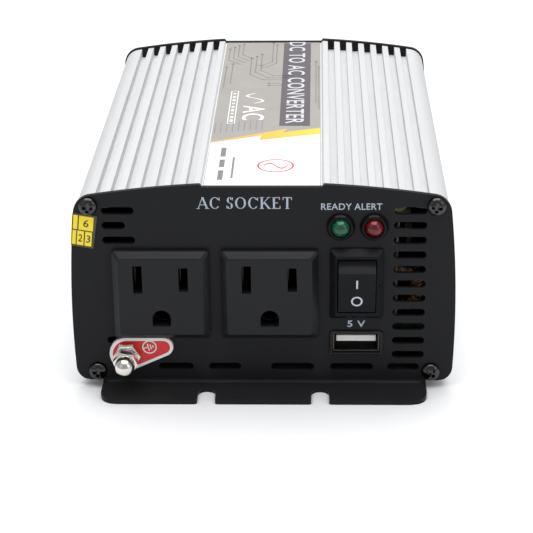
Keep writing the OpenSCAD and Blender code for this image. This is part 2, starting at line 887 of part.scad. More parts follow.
module fan_guard() {
  rings = [5.5, 11, 16.5];
  reach = fan_bolt * sqrt(2);
  color(nickel) at_fan() along_y(back_y, guard_t) difference() {
    union() {
      for (r = rings) difference() {
        circle(r + guard_w / 2);
        circle(r - guard_w / 2);
      }
      for (turn = [45, 135]) rotate(turn) square([2 * reach, guard_w], center = true);
      for (x = [-1, 1], z = [-1, 1]) translate([x * fan_bolt, z * fan_bolt]) circle(3);
    }
    for (x = [-1, 1], z = [-1, 1]) translate([x * fan_bolt, z * fan_bolt]) circle(1.8);
  }
}

fan_screw_len = fan_t + sheet_t + guard_t + 2.8;

module fan_screws() {
  color(steel) at_fan() for (x = [-1, 1], z = [-1, 1])
    translate([x * fan_bolt, back_y + guard_t, z * fan_bolt]) rotate([-90, 0, 0])
      pan_screw(5.2, 1.9, 1.45, fan_screw_len);
}

module fan_nuts() {
  color(nickel) at_fan() for (x = [-1, 1], z = [-1, 1]) translate([x * fan_bolt, 0, z * fan_bolt])
    hex_nut(5.5, 1.5, fan_start - 2.4, 2.4, 0);
}

// ---- battery terminals ----

flange_r = 6;
inner_flange_r = 5.2;
flange_t = 2.4;
post_collar_r = 5;
post_collar_t = 2;
knob_y = back_y + flange_t + post_collar_t + slip;
insert_r = 4.3;
insert_len = 8;
post_inside = 10;       // stud behind the panel's inner face

module at_post(i) {
  translate([post_x, 0, post_z - i * post_pitch]) children();
}

module post(i) {
  color(nickel) at_post(i) {
    rod_y(post_d / 2, half_l - post_inside, back_y - half_l + post_inside + flange_t + post_collar_t + 9);
    rod_y(post_collar_r, back_y + flange_t, post_collar_t);
    hex_nut(10, 0.01, half_l - 1.5 - 4, 4, 0);
    rod_y(1, half_l - 5, 2);
  }
}

module insulator(i, tint) {
  color(tint) at_post(i) difference() {
    union() {
      rod_y(flange_r, back_y, flange_t);
      rod_y(collar_r, half_l - 0.5, back_y - half_l + 1);
      rod_y(inner_flange_r, half_l - 1.5, 1.5);
    }
    rod_y(post_d / 2 + 0.05, half_l - 3, 10);
  }
}

module insert(i) {
  color(brass) at_post(i) difference() {
    rod_y(insert_r, knob_y + slip, insert_len);
    rod_y(post_d / 2 + fit, knob_y - 1, insert_len + 3);
  }
}

module knob(i, tint) {
  color(tint) at_post(i) difference() {
    rod_y(knob_d / 2, knob_y, knob_len);
    rod_y(insert_r + fit, knob_y - 1, insert_len + 1 + 2 * slip);
    rod_y(post_d / 2 + slip, knob_y - 1, knob_len - 1);
    for (turn = [0 : 45 : 315]) rotate([0, turn, 0]) translate([knob_d / 2 + 0.9, 0, 0])
      rod_y(1.5, knob_y + 2, knob_len);
  }
}

// ---- electronics ----

board_top = board_z + board_t;
board_y = [-half_l + 21, half_l - 13];
board_half = half_w - 4.15;
core = [28, 34, 22];    // transformer core
core_at = [-10, 4];
choke_r = 9;
choke_x = half_w - 14.2;
choke_y = -half_l + 21;

module main_board() {
  color(mask) translate([-board_half, board_y[0], board_z])
    cube([2 * board_half, board_y[1] - board_y[0], board_t]);
}

module at_transformer() {
  translate([core_at[0], core_at[1], board_top + 1 + core[2] / 2]) children();
}

module transformer_core() {
  leg = 5;
  color(ferrite) at_transformer() difference() {
    cube([core[0], core[1], 10], center = true);
    for (side = [-1, 1]) translate([0, side * (core[1] / 2 - leg - 3.5), 0])
      cube([core[0] - 2 * leg, 7, 12], center = true);
  }
}

module transformer_coil() {
  leg_half = core[1] / 2 - 5 - 7;
  color([0.85, 0.70, 0.20]) at_transformer() difference() {
    union() {
      cube([core[0] - 10 - 4 * fit, core[1] - 10 - 4 * fit, core[2] - 2], center = true);
      translate([0, 0, -core[2] / 2 + 0.25]) cube([core[0] - 4, core[1], 2.5], center = true);
    }
    cube([core[0], 2 * leg_half + 2 * fit, 10 + 2 * fit], center = true);
  }
}

module at_choke() {
  translate([choke_x, choke_y + 6, board_top + choke_r + 0.5]) children();
}

module choke_core() {
  color([0.80, 0.78, 0.62]) at_choke() difference() {
    rod_y(7, -3, 6);
    rod_y(4, -4, 8);
  }
}

// Turns of wire around the ring, each a bent square hoop.
module choke_coil() {
  turns = 16;
  color(copper) at_choke() for (i = [0 : turns - 1]) rotate([0, i * 360 / turns, 0])
    translate([5.5, 0, 0]) difference() {
      cube([7, 9.4, 1.1], center = true);
      cube([3 + 2 * fit, 6 + 2 * fit, 2], center = true);
    }
}

module capacitors() {
  color([0.13, 0.18, 0.30]) {
    for (i = [0, 1]) translate([half_w - 21.75 - i * 15, half_l - 28, board_top])
      cylinder(r = 6.3, h = 26);
    translate([half_w - 36, -half_l + 44, board_top]) cylinder(r = 9, h = 33);
    translate([-half_w + 19, -half_l + 36, board_top]) cube([14, 8, 14]);
  }
}

module fuses() {
  color([0.86, 0.60, 0.10]) for (i = [0, 1]) translate([12 + i * 10, half_l - 44, board_top]) {
    translate([-2.5, -9.5, 5]) cube([5, 19, 12]);
    for (y = [-7, 3]) translate([-0.4, y, 0]) cube([0.8, 4, 5.5]);
  }
}

module control_board() {
  color(mask) translate([-half_w + 22, -half_l + 48, board_top])
    cube([1.2, 46, 27]);
}

pad_t = 0.3;
transistor_t = 4.4;
bar_t = 2;
transistor_row = [-1, 0, 1];

module thermal_pads() {
  color([0.75, 0.78, 0.80]) for (side = [-1, 1]) difference() {
    translate([side * (land_x - pad_t / 2), transistor_y, clamp_z])
      cube([pad_t, 3 * transistor_step, 18], center = true);
    clamp_holes(side);
  }
}

module clamp_holes(side) {
  for (i = [-0.5, 0.5]) translate([side * (land_x - 4), transistor_y + i * transistor_step, clamp_z])
    rotate([0, 90, 0]) cylinder(r = clamp_hole_r, h = 10, center = true);
}

module transistors() {
  color(ferrite) for (side = [-1, 1], i = transistor_row) {
    translate([side * (land_x - pad_t - transistor_t / 2), transistor_y + i * transistor_step, clamp_z])
      cube([transistor_t, transistor_w, 15], center = true);
    for (leg = [-2.54, 0, 2.54])
      translate([side * (land_x - pad_t - transistor_t + 0.7), transistor_y + i * transistor_step + leg,
        (board_top + clamp_z - 7) / 2])
        cube([0.5, 0.9, clamp_z - 7 - board_top], center = true);
  }
}

module clamp_bars() {
  color(alloy) for (side = [-1, 1]) difference() {
    translate([side * (land_x - pad_t - transistor_t - bar_t / 2), transistor_y, clamp_z])
      cube([bar_t, 2 * transistor_step + transistor_w, 8], center = true);
    clamp_holes(side);
  }
}

module clamp_screws() {
  color(nickel) for (side = [-1, 1], i = [-0.5, 0.5])
    translate([side * (land_x - pad_t - transistor_t - bar_t), transistor_y + i * transistor_step, clamp_z])
      rotate([0, -side * 90, 0]) pan_screw(5, 2, clamp_hole_r - fit, pad_t + transistor_t + bar_t + 2);
}

module outlet_leads() {
  start_y = face_y + outlet_deep + tail_len - 1;
  turn_y = start_y + 4;
  high = outlet_z + blade_z;
  color([0.85, 0.85, 0.80]) for (x = outlet_x, i = [-0.5, 0.5]) {
    at = x + i * blade_gap;
    lead([[at, start_y + slip, high], [at, turn_y, high], [at, turn_y + 3, high - 8],
      [at, turn_y + 3, board_top]], 0.9);
  }
}

module battery_leads() {
  tint = ["black", "red"];
  run_y = [half_l - 19.5, half_l - 14.5];
  for (i = [0, 1]) color(tint[i]) {
    high = post_z - i * post_pitch;
    lead([[post_x, half_l - post_inside, high], [post_x, run_y[i], high],
      [post_x, run_y[i], board_top]], 1.7);
  }
}

housing();
front_panel();
rear_panel();
front_panel_screws();
rear_panel_screws();
outlet(outlet_x[0]);  // left_outlet
outlet(outlet_x[1]);  // right_outlet
outlet_contacts(outlet_x[0]);  // left_outlet_contacts
outlet_contacts(outlet_x[1]);  // right_outlet_contacts
switch_housing();
switch_rocker();
switch_plunger();
switch_arm();
switch_terminals();
led_holder(led_x[0]);  // power_led_holder
led_holder(led_x[1]);  // fault_led_holder
led(led_x[0], [0.05, 0.50, 0.30]);  // power_led
led(led_x[1], [0.55, 0.03, 0.06]);  // fault_led
led_board();
port_frame();
port_shell();
port_tongue();
port_board();
earth_stud();
earth_nut();
earth_spring_washer();
earth_cap_nut();
earth_tag();
top_label();
date_sticker();
fan_frame();
fan_stator();
fan_rotor();
fan_guard();
fan_screws();
fan_nuts();
post(0);  // negative_post
insulator(0, [0.08, 0.08, 0.09]);  // negative_insulator
insert(0);  // negative_insert
knob(0, [0.08, 0.08, 0.09]);  // negative_knob
post(1);  // positive_post
insulator(1, [0.65, 0.06, 0.06]);  // positive_insulator
insert(1);  // positive_insert
knob(1, [0.65, 0.06, 0.06]);  // positive_knob
main_board();
transformer_core();
transformer_coil();
choke_core();
choke_coil();
capacitors();
fuses();
control_board();
transistors();
thermal_pads();
clamp_bars();
clamp_screws();
outlet_leads();
battery_leads();
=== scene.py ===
import bpy
import bmesh
import math
from mathutils import Matrix, Vector
from mathutils.bvhtree import BVHTree


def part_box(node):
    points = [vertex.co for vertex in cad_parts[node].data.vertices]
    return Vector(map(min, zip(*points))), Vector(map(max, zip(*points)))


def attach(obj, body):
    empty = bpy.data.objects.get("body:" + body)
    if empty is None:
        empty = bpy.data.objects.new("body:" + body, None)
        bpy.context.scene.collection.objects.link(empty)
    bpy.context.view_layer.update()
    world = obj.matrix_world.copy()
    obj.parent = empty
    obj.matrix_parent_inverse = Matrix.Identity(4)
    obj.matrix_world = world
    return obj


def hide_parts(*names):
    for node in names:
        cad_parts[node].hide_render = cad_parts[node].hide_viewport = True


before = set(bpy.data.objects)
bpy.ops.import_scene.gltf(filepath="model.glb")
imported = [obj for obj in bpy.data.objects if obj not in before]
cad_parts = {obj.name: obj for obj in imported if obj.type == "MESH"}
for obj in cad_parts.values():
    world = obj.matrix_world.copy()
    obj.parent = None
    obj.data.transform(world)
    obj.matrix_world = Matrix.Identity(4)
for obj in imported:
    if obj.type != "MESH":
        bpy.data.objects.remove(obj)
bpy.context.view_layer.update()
mm = 0.001
shapes = bpy.data.meshes
scene = bpy.context.scene


# where things are, in millimetres

def span(node):
    low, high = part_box(node)
    return low / mm, high / mm


def middle(node):
    low, high = span(node)
    return (low + high) / 2


caseSize = {"width": 107.5, "crown": 61.9, "lift": 1.7, "rim": 0.5, "crownRadius": 315,
            "bulgeRadius": 312, "bulgeHeight": 20, "topCorner": 5.5, "lowCorner": 4.5,
            "channel": 32.8, "channelDrop": 1.2, "flare": 0.75}
housingLow, housingHigh = span("housing")
sheetThick = 1.4
faceY = housingLow.y - sheetThick
fanBolt = 16.0  # fan screws from the fan's middle, across and up
lampWire = 1.27  # an indicator's wires from its middle


# ---- shapes ----

def keep(bm):
    mesh = shapes.new("shape")
    bm.to_mesh(mesh)
    bm.free()
    return mesh


def load(mesh):
    bm = bmesh.new()
    bm.from_mesh(mesh)
    return bm


def split(bm, at, axis, **settings):
    # adds the edges where a plane passes through; it faces along the axis
    normal = Vector(axis)
    bmesh.ops.bisect_plane(bm, geom=bm.verts[:] + bm.edges[:] + bm.faces[:],
                           plane_co=normal * at, plane_no=normal, **settings)


def linked(name, data):
    obj = bpy.data.objects.new(name, data)
    scene.collection.objects.link(obj)
    return obj


def viaObject(data, prepare):
    # lends the data to an object, lets prepare dress it, and hands back the plain result
    obj = linked("working", data)
    prepare(obj)
    graph = bpy.context.evaluated_depsgraph_get()
    mesh = shapes.new_from_object(obj.evaluated_get(graph), depsgraph=graph)
    bpy.data.objects.remove(obj)
    return mesh


def moved(mesh, offset=(0, 0, 0), turn=0.0, axis="Y"):
    mesh = mesh.copy()
    mesh.transform(Matrix.Translation(offset) @ Matrix.Rotation(math.radians(turn), 4, axis))
    return mesh


def merged(parts):
    # parts are (mesh, material number)
    bm = bmesh.new()
    for mesh, number in parts:
        start = len(bm.faces)
        bm.from_mesh(mesh)
        bm.faces.ensure_lookup_table()
        for face in bm.faces[start:]:
            face.material_index = number
    return keep(bm)


def cleaned(mesh, flat=0.6):
    bm = load(mesh)
    bmesh.ops.remove_doubles(bm, verts=bm.verts, dist=1e-4)
    bmesh.ops.dissolve_limit(bm, angle_limit=math.radians(flat), verts=bm.verts, edges=bm.edges)
    return keep(bm)


def beveled(mesh, width, segments=2, limit=32):
    def prepare(obj):
        cut = obj.modifiers.new("edges", "BEVEL")
        cut.width, cut.segments = width, segments
        cut.limit_method, cut.angle_limit = "ANGLE", math.radians(limit)
        cut.use_clamp_overlap = True
        cut.miter_outer = "MITER_ARC"
    return viaObject(mesh, prepare)


def piece(name, mesh, finishes, body="case", stands=(), smooth=38):
    # brings a shape in millimetres into place as one finished piece
    mesh.transform(Matrix.Scale(mm, 4))
    numbers = [face.material_index for face in mesh.polygons]
    mesh.materials.clear()
    for finish in finishes:
        mesh.materials.append(finish)
    for face, number in zip(mesh.polygons, numbers):
        face.material_index = min(number, len(finishes) - 1)
    mesh.shade_smooth()
    mesh.set_sharp_from_angle(angle=math.radians(smooth))

    def prepare(obj):
        even = obj.modifiers.new("even", "WEIGHTED_NORMAL")
        even.keep_sharp = True
    mesh = viaObject(mesh, prepare)
    mesh.name = name
    obj = linked(name, mesh)
    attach(obj, body)
    if stands:
        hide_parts(*stands)
    return obj


def cadShape(node):
    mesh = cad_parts[node].data.copy()
    mesh.transform(Matrix.Scale(1 / mm, 4))
    return cleaned(mesh)


def softened(node, width, finishes, body="case", segments=2, paint=None):
    # the node's own shape with every sharp edge eased
    mesh = beveled(cadShape(node), width, segments)
    if paint:
        for face in mesh.polygons:
            face.material_index = paint(face.center, face.normal)
    return piece(node + "_skin", mesh, finishes, body, (node,))


def filleted(points, radius, steps=4, closed=True):
    # every corner becomes a short curve
    result = []
    count = len(points)
    for i, corner in enumerate(points):
        corner = Vector(corner)
        if not closed and i in (0, count - 1):
            result.append(corner)
            continue
        before = Vector(points[i - 1]) - corner
        after = Vector(points[(i + 1) % count]) - corner
        half = max(before.angle(after) / 2, 0.05)
        back = min(radius / math.tan(half), 0.49 * before.length, 0.49 * after.length)
        first, last = corner + before.normalized() * back, corner + after.normalized() * back
        for k in range(steps + 1):
            t = k / steps
            result.append(first * (1 - t) ** 2 + corner * 2 * t * (1 - t) + last * t * t)
    return result


def ringLoop(x, z, radius, steps=40):
    turns = [2 * math.pi * k / steps for k in range(steps)]
    return [(x + radius * math.cos(a), z + radius * math.sin(a)) for a in turns]


def boxLoop(x, z, width, height, radius=0.0):
    corners = [(x - width / 2, z - height / 2), (x + width / 2, z - height / 2),
               (x + width / 2, z + height / 2), (x - width / 2, z + height / 2)]
    return filleted(corners, radius) if radius else corners


def slotLoop(x, z, width, height):
    r = height / 2
    ends = []
    for side, start in ((1, -90), (-1, 90)):
        for k in range(9):
            a = math.radians(start + 180 * k / 8)
            ends.append((x + side * (width / 2 - r) + r * math.cos(a), z + r * math.sin(a)))
    return ends


def plate(loops, start, end, edge=0.0, lying=False):
    # a flat shape with holes and eased edges; it stands facing the front, or lies flat
    curve = bpy.data.curves.new("outline", "CURVE")
    curve.dimensions, curve.fill_mode = "2D", "BOTH"
    for loop in loops:
        spline = curve.splines.new("POLY")
        spline.points.add(len(loop) - 1)
        for point, at in zip(spline.points, loop):
            point.co = (at[0], at[1], 0, 1)
        spline.use_cyclic_u = True
    curve.extrude = (end - start) / 2 - edge
    curve.bevel_depth, curve.bevel_resolution, curve.offset = edge, 1, -edge
    mesh = viaObject(curve, lambda obj: None)
    if lying:
        mesh.transform(Matrix.Translation((0, 0, (start + end) / 2)))
    else:
        mesh.transform(Matrix.Rotation(math.radians(90), 4, "X"))
        mesh.transform(Matrix.Translation((0, (start + end) / 2, 0)))
    bm = load(mesh)
    bmesh.ops.remove_doubles(bm, verts=bm.verts, dist=1e-4)
    return keep(bm)


def lathe(profile, x=0.0, z=0.0, steps=48, closed=False):
    # turns (radius, depth) points around an axis that runs to the rear
    bm = bmesh.new()
    rings = []
    for radius, y in profile:
        if radius < 1e-6:
            rings.append([bm.verts.new((x, y, z))])
            continue
        angles = [2 * math.pi * k / steps for k in range(steps)]
        rings.append([bm.verts.new((x + radius * math.cos(a), y, z + radius * math.sin(a)))
                      for a in angles])
    for first, second in zip(rings, rings[1:] + (rings[:1] if closed else [])):
        for k in range(steps):
            corners = [first[k % len(first)], first[(k + 1) % len(first)],
                       second[(k + 1) % len(second)], second[k % len(second)]]
            corners = list(dict.fromkeys(corners))
            if len(corners) > 2:
                bm.faces.new(corners)
    bmesh.ops.recalc_face_normals(bm, faces=bm.faces)
    return keep(bm)


def block(low, high):
    bm = bmesh.new()
    bmesh.ops.create_cube(bm, size=1)
    low, high = Vector(low), Vector(high)
    for v in bm.verts:
        v.co = Vector(((v.co[i] + 0.5) * (high[i] - low[i]) + low[i]) for i in range(3))
    return keep(bm)


def carved(mesh, cutter, how="DIFFERENCE"):
    tool = linked("cutter", cutter)

    def prepare(obj):
        cut = obj.modifiers.new("cut", "BOOLEAN")
        cut.object, cut.operation, cut.solver = tool, how, "EXACT"
    result = viaObject(mesh, prepare)
    bpy.data.objects.remove(tool)
    return cleaned(result)


def lettering(words, width, height, thick=0.04):
    # flat letters around the origin, lying, exactly this wide and high
    curve = bpy.data.curves.new("letters", "FONT")
    curve.body, curve.extrude, curve.resolution_u = words, thick / 2, 3
    curve.offset, curve.space_character = 0.012, 1.06
    return fitted(viaObject(curve, lambda obj: None), width, height)


def fitted(mesh, width, height):
    xs = [v.co.x for v in mesh.vertices]
    ys = [v.co.y for v in mesh.vertices]
    middleX, middleY = (min(xs) + max(xs)) / 2, (min(ys) + max(ys)) / 2
    mesh.transform(Matrix.Diagonal((width / (max(xs) - min(xs)), height / (max(ys) - min(ys)), 1, 1))
                   @ Matrix.Translation((-middleX, -middleY, 0)))
    return mesh


serif = {"thick": 0.15, "thin": 0.06, "foot": 0.045, "space": 0.03}

# each capital: its width, strokes (start, end, thick or thin), feet (x, z, width)
# and arcs (centre, radii, first and last angle), one unit high
capitals = {
    "A": (0.86, [((0.10, 0), (0.43, 1), "thin"), ((0.43, 1), (0.76, 0), "thick"),
                 ((0.21, 0.34), (0.64, 0.34), "thin")], [(0.10, 0, 0.24), (0.76, 0, 0.30)], []),
    "C": (0.84, [((0.77, 0.98), (0.77, 0.70), "thin")], [], [(0.45, 0.5, 0.38, 0.5, 38, 318)]),
    "S": (0.60, [((0.50, 0.98), (0.50, 0.74), "thin"), ((0.09, 0.02), (0.09, 0.28), "thin")], [],
          [(0.29, 0.74, 0.20, 0.26, 20, 270), (0.30, 0.255, 0.22, 0.255, 90, -160)]),
    "O": (0.92, [], [], [(0.46, 0.5, 0.40, 0.5, 0, 360)]),
    "K": (0.86, [((0.20, 0), (0.20, 1), "thick"), ((0.26, 0.40), (0.70, 1), "thin"),
                 ((0.38, 0.55), (0.76, 0), "thick")],
          [(0.20, 0, 0.30), (0.20, 1, 0.30), (0.70, 1, 0.24), (0.76, 0, 0.26)], []),
    "E": (0.74, [((0.20, 0), (0.20, 1), "thick"), ((0.20, 0.03), (0.66, 0.03), "thin"),
                 ((0.20, 0.97), (0.62, 0.97), "thin"), ((0.20, 0.5), (0.50, 0.5), "thin"),
                 ((0.64, 0.03), (0.64, 0.24), "thin"), ((0.60, 0.97), (0.60, 0.78), "thin")],
          [(0.16, 0, 0.22), (0.16, 1, 0.22)], []),
    "T": (0.80, [((0.40, 0), (0.40, 1), "thick"), ((0.08, 0.97), (0.72, 0.97), "thin"),
                 ((0.09, 0.97), (0.09, 0.76), "thin"), ((0.71, 0.97), (0.71, 0.76), "thin")],
          [(0.40, 0, 0.30)], []),
    " ": (0.34, [], [], [])}


def strokeLoop(start, end, weight):
    (ax, ay), (bx, by), half = start, end, weight / 2
    if abs(ay - by) < 1e-3:
        return [(ax, ay - half), (bx, by - half), (bx, by + half), (ax, ay + half)]
    return [(ax - half, ay), (ax + half, ay), (bx + half, by), (bx - half, by)]


def arcLoops(x, z, radiusX, radiusZ, begin, end, steps=32):
    # a curved stroke in short pieces, thickest at its sides
    rims = []
    for k in range(steps + 1):
        a = math.radians(begin + (end - begin) * k / steps)
        w = serif["thin"] / 2 + (serif["thick"] - serif["thin"]) / 2 * abs(math.cos(a)) ** 1.5
        rims.append([(x + (radiusX - inX) * math.cos(a), z + (radiusZ - inZ) * math.sin(a))
                     for inX, inZ in ((0, 0), (2 * w, 1.6 * w))])
    return [[first[0], second[0], second[1], first[1]] for first, second in zip(rims, rims[1:])]


def serifWords(words, width, height):
    # capitals with thick stems, thin strokes and small feet
    loops, x, foot = [], 0.0, serif["foot"]
    for letter in words:
        wide, strokes, feet, arcs = capitals[letter]
        drawn = [strokeLoop(start, end, serif[weight]) for start, end, weight in strokes]
        drawn += [boxLoop(fx, foot / 2 if fz < 0.5 else fz - foot / 2, size, foot)
                  for fx, fz, size in feet]
        for arc in arcs:
            drawn += arcLoops(*arc)
        loops += [[(x + px, pz) for px, pz in loop] for loop in drawn]
        x += wide + serif["space"]
    # slightly different heights keep crossing strokes from lying in one plane
    meshes = [(plate([loop], -0.02, 0.02 + 0.0005 * (k % 7), lying=True), 0)
              for k, loop in enumerate(loops)]
    return fitted(merged(meshes), width, height)


def standing(mesh, x, y, z):
    # turns what lies flat to face the front, centred at this place
    mesh = mesh.copy()
    mesh.transform(Matrix.Translation((x, y, z)) @ Matrix.Rotation(math.radians(90), 4, "X"))
    return mesh


def fineSheet(loops):
    # a thin lying shape cut fine enough to follow a curved face
    bm = load(plate(loops, -0.03, 0.03, lying=True))
    for k in range(-12, 13):
        split(bm, k * 0.2, (0, 1, 0))
    return keep(bm)


def laidOn(mesh, base, lift):
    # pushes printed marks, drawn in front, back onto the face behind them
    tree = BVHTree.FromPolygons([v.co for v in base.vertices], [f.vertices for f in base.polygons])
    depths = [v.co.y for v in mesh.vertices]
    middleY = (min(depths) + max(depths)) / 2
    for v in mesh.vertices:
        spot = tree.ray_cast(Vector((v.co.x, -200, v.co.z)), Vector((0, 1, 0)))[0]
        if spot:
            v.co.y = spot.y - lift + 0.6 * (v.co.y - middleY)
    return mesh


# ---- node trees ----

def dressed(tree, made, inputs):
    for where, what in inputs.items():
        if isinstance(what, bpy.types.NodeSocket):
            tree.links.new(what, made.inputs[where])
        else:
            made.inputs[where].default_value = what
    return made


def addNode(tree, kind, inputs=None, **settings):
    made = tree.nodes.new(kind)
    for key, value in settings.items():
        setattr(made, key, value)
    return dressed(tree, made, inputs or {})


def calc(tree, operation, *values):
    kind = "ShaderNodeMath"
    return addNode(tree, kind, dict(enumerate(values)), operation=operation).outputs[0]


def geometryTree(name, inputs):
    tree = bpy.data.node_groups.new(name, "GeometryNodeTree")
    tree.interface.new_socket(name="Geometry", in_out="INPUT", socket_type="NodeSocketGeometry")
    for label, kind in inputs:
        tree.interface.new_socket(name=label, in_out="INPUT", socket_type="NodeSocket" + kind)
    tree.interface.new_socket(name="Geometry", in_out="OUTPUT", socket_type="NodeSocketGeometry")
    return tree, tree.nodes.new("NodeGroupInput").outputs


def closeTree(tree, shape, finish):
    solid = addNode(tree, "GeometryNodeRealizeInstances", {"Geometry": shape})
    coated = addNode(tree, "GeometryNodeSetMaterial",
                     {"Geometry": solid.outputs[0], "Material": finish})
    addNode(tree, "NodeGroupOutput", {0: coated.outputs[0]})
    return tree


def grown(mesh, tree, values):
    # runs a tree over the shape with these named inputs
    def prepare(obj):
        modifier = obj.modifiers.new("grow", "NODES")
        modifier.node_group = tree
        for item in tree.interface.items_tree:
            if item.item_type == "SOCKET" and item.in_out == "INPUT" and item.name in values:
                modifier[item.identifier] = values[item.name]
    return viaObject(mesh, prepare)


def prototypeAt(tree, given, points, angle):
    # puts the prototype on every point, turned around its own depth axis
    model = addNode(tree, "GeometryNodeObjectInfo", {"Object": given["Prototype"]})
    turn = addNode(tree, "ShaderNodeCombineXYZ", {"Y": angle})
    placed = addNode(tree, "GeometryNodeInstanceOnPoints",
                     {"Points": points, "Instance": model.outputs["Geometry"],
                      "Rotation": turn.outputs[0]})
    return closeTree(tree, placed.outputs[0], given["Finish"])


def makeCopiesTree():
    # one prototype at every point, each turned by chance
    tree, given = geometryTree("copiesOnPoints", [("Prototype", "Object"), ("Turn", "Float"),
                                                  ("Seed", "Int"), ("Finish", "Material")])
    chance = addNode(tree, "FunctionNodeRandomValue",
                     {2: 0.0, 3: given["Turn"], "Seed": given["Seed"]}, data_type="FLOAT")
    return prototypeAt(tree, given, given["Geometry"], chance.outputs[1])


def makeRingTree():
    # copies of one prototype, turned evenly around the depth axis
    tree, given = geometryTree("copiesInRing", [("Prototype", "Object"), ("Count", "Int"),
                                                ("Centre", "Vector"), ("Finish", "Material")])
    points = addNode(tree, "GeometryNodePoints",
                     {"Count": given["Count"], "Position": given["Centre"]})
    index = addNode(tree, "GeometryNodeInputIndex").outputs[0]
    angle = calc(tree, "DIVIDE", calc(tree, "MULTIPLY", index, 2 * math.pi), given["Count"])
    return prototypeAt(tree, given, points.outputs[0], angle)


copiesTree = makeCopiesTree()
ringTree = makeRingTree()


def repeated(prototype, start, tree, values):
    model = linked("prototype", prototype)
    result = grown(keep(start), tree, {"Prototype": model, **values})
    bpy.data.objects.remove(model)
    return result


def copies(prototype, points, finish, turn=0.0, seed=3):
    bm = bmesh.new()
    for point in points:
        bm.verts.new(point)
    return repeated(prototype, bm, copiesTree, {"Turn": turn, "Seed": seed, "Finish": finish})


def ringed(prototype, count, centre, finish):
    return repeated(prototype, bmesh.new(), ringTree,
                    {"Count": count, "Centre": centre, "Finish": finish})


# ---- finishes ----

def shaderGroup(name, inputs, outputs):
    group = bpy.data.node_groups.new(name, "ShaderNodeTree")
    for label, kind, value in inputs:
        socket = group.interface.new_socket(name=label, in_out="INPUT",
                                            socket_type="NodeSocket" + kind)
        if value is not None:
            socket.default_value = value
    for label, kind in outputs:
        group.interface.new_socket(name=label, in_out="OUTPUT", socket_type="NodeSocket" + kind)
    return group, group.nodes.new("NodeGroupInput").outputs


def noise(tree, place, size, detail, rough):
    scale = calc(tree, "DIVIDE", 1.0, size)
    return addNode(tree, "ShaderNodeTexNoise", {"Vector": place, "Scale": scale, "Detail": detail,
                                                "Roughness": rough}).outputs[0]


def makeGrainGroup():
    # fine tooth for the bump, and slow drift for colour and gloss
    group, given = shaderGroup(
        "surfaceGrain", [("Place", "Vector", None), ("Tooth Size", "Float", 0.5),
                         ("Drift Size", "Float", 18.0)],
        [("Tooth", "Float"), ("Drift", "Float")])
    tooth = noise(group, given["Place"], given["Tooth Size"], 3.0, 0.6)
    drift = noise(group, given["Place"], given["Drift Size"], 4.0, 0.55)
    addNode(group, "NodeGroupOutput", {"Tooth": tooth, "Drift": drift})
    return group


def makeDustGroup():
    # soft specks that gather on faces that look up
    group, given = shaderGroup("settledDust", [("Place", "Vector", None), ("Amount", "Float", 0.1)],
                               [("Mask", "Float")])
    normal = addNode(group, "ShaderNodeNewGeometry").outputs["Normal"]
    upward = addNode(group, "ShaderNodeSeparateXYZ", {0: normal}).outputs["Z"]
    specks = addNode(group, "ShaderNodeTexNoise",
                     {"Vector": given["Place"], "Scale": 1.3, "Detail": 6.0, "Roughness": 0.75})
    fine = calc(group, "POWER", specks.outputs[0], 3.0)
    mask = calc(group, "MULTIPLY", calc(group, "MAXIMUM", upward, 0.12), fine)
    addNode(group, "NodeGroupOutput", {"Mask": calc(group, "MULTIPLY", mask, given["Amount"])})
    return group


grainGroup = makeGrainGroup()
dustGroup = makeDustGroup()


def mixColour(tree, share, first, second):
    mix = addNode(tree, "ShaderNodeMix", {0: share}, data_type="RGBA")
    ends = [what if isinstance(what, bpy.types.NodeSocket) else (*what, 1) for what in (first, second)]
    return dressed(tree, mix, {6: ends[0], 7: ends[1]}).outputs[2]


def finish(name, colour, rough, metal=0.0, tooth=0.5, depth=0.01, drift=18.0, vary=0.12,
           gloss=0.06, stretch=(1, 1, 1), dust=0.0, paint=None, **plain):
    # colour varies by vary and roughness by gloss; tooth and drift are sizes in millimetres,
    # depth is the bump's height in millimetres; plain sets sockets of the shader itself
    material = bpy.data.materials.new(name)
    material.use_nodes = True
    tree = material.node_tree
    shader = tree.nodes["Principled BSDF"]
    place = addNode(tree, "ShaderNodeTexCoord").outputs["Object"]
    scaled = addNode(tree, "ShaderNodeMapping",
                     {"Vector": place, "Scale": [s / mm for s in stretch]}).outputs[0]
    grain = addNode(tree, "ShaderNodeGroup", node_tree=grainGroup)
    dressed(tree, grain, {"Place": scaled, "Tooth Size": tooth, "Drift Size": drift})
    base = mixColour(tree, grain.outputs["Drift"], [c * (1 - vary) for c in colour],
                     [min(1, c * (1 + vary)) for c in colour])
    if paint:
        base = paint(tree, scaled, base)
    if dust:
        cover = addNode(tree, "ShaderNodeGroup", node_tree=dustGroup)
        dressed(tree, cover, {"Place": scaled, "Amount": dust})
        base = mixColour(tree, cover.outputs["Mask"], base, (0.55, 0.54, 0.52))
    tree.links.new(base, shader.inputs["Base Color"])
    spread = addNode(tree, "ShaderNodeMapRange",
                     {0: grain.outputs["Drift"], 1: 0.3, 2: 0.7,
                      3: max(0.02, rough - gloss), 4: min(1, rough + gloss)})
    tree.links.new(spread.outputs[0], shader.inputs["Roughness"])
    bump = addNode(tree, "ShaderNodeBump",
                   {"Height": grain.outputs["Tooth"], "Strength": 1.0, "Distance": depth * mm})
    tree.links.new(bump.outputs[0], shader.inputs["Normal"])
    shader.inputs["Metallic"].default_value = metal
    for label, value in plain.items():
        shader.inputs[label.replace("_", " ")].default_value = value
    return material


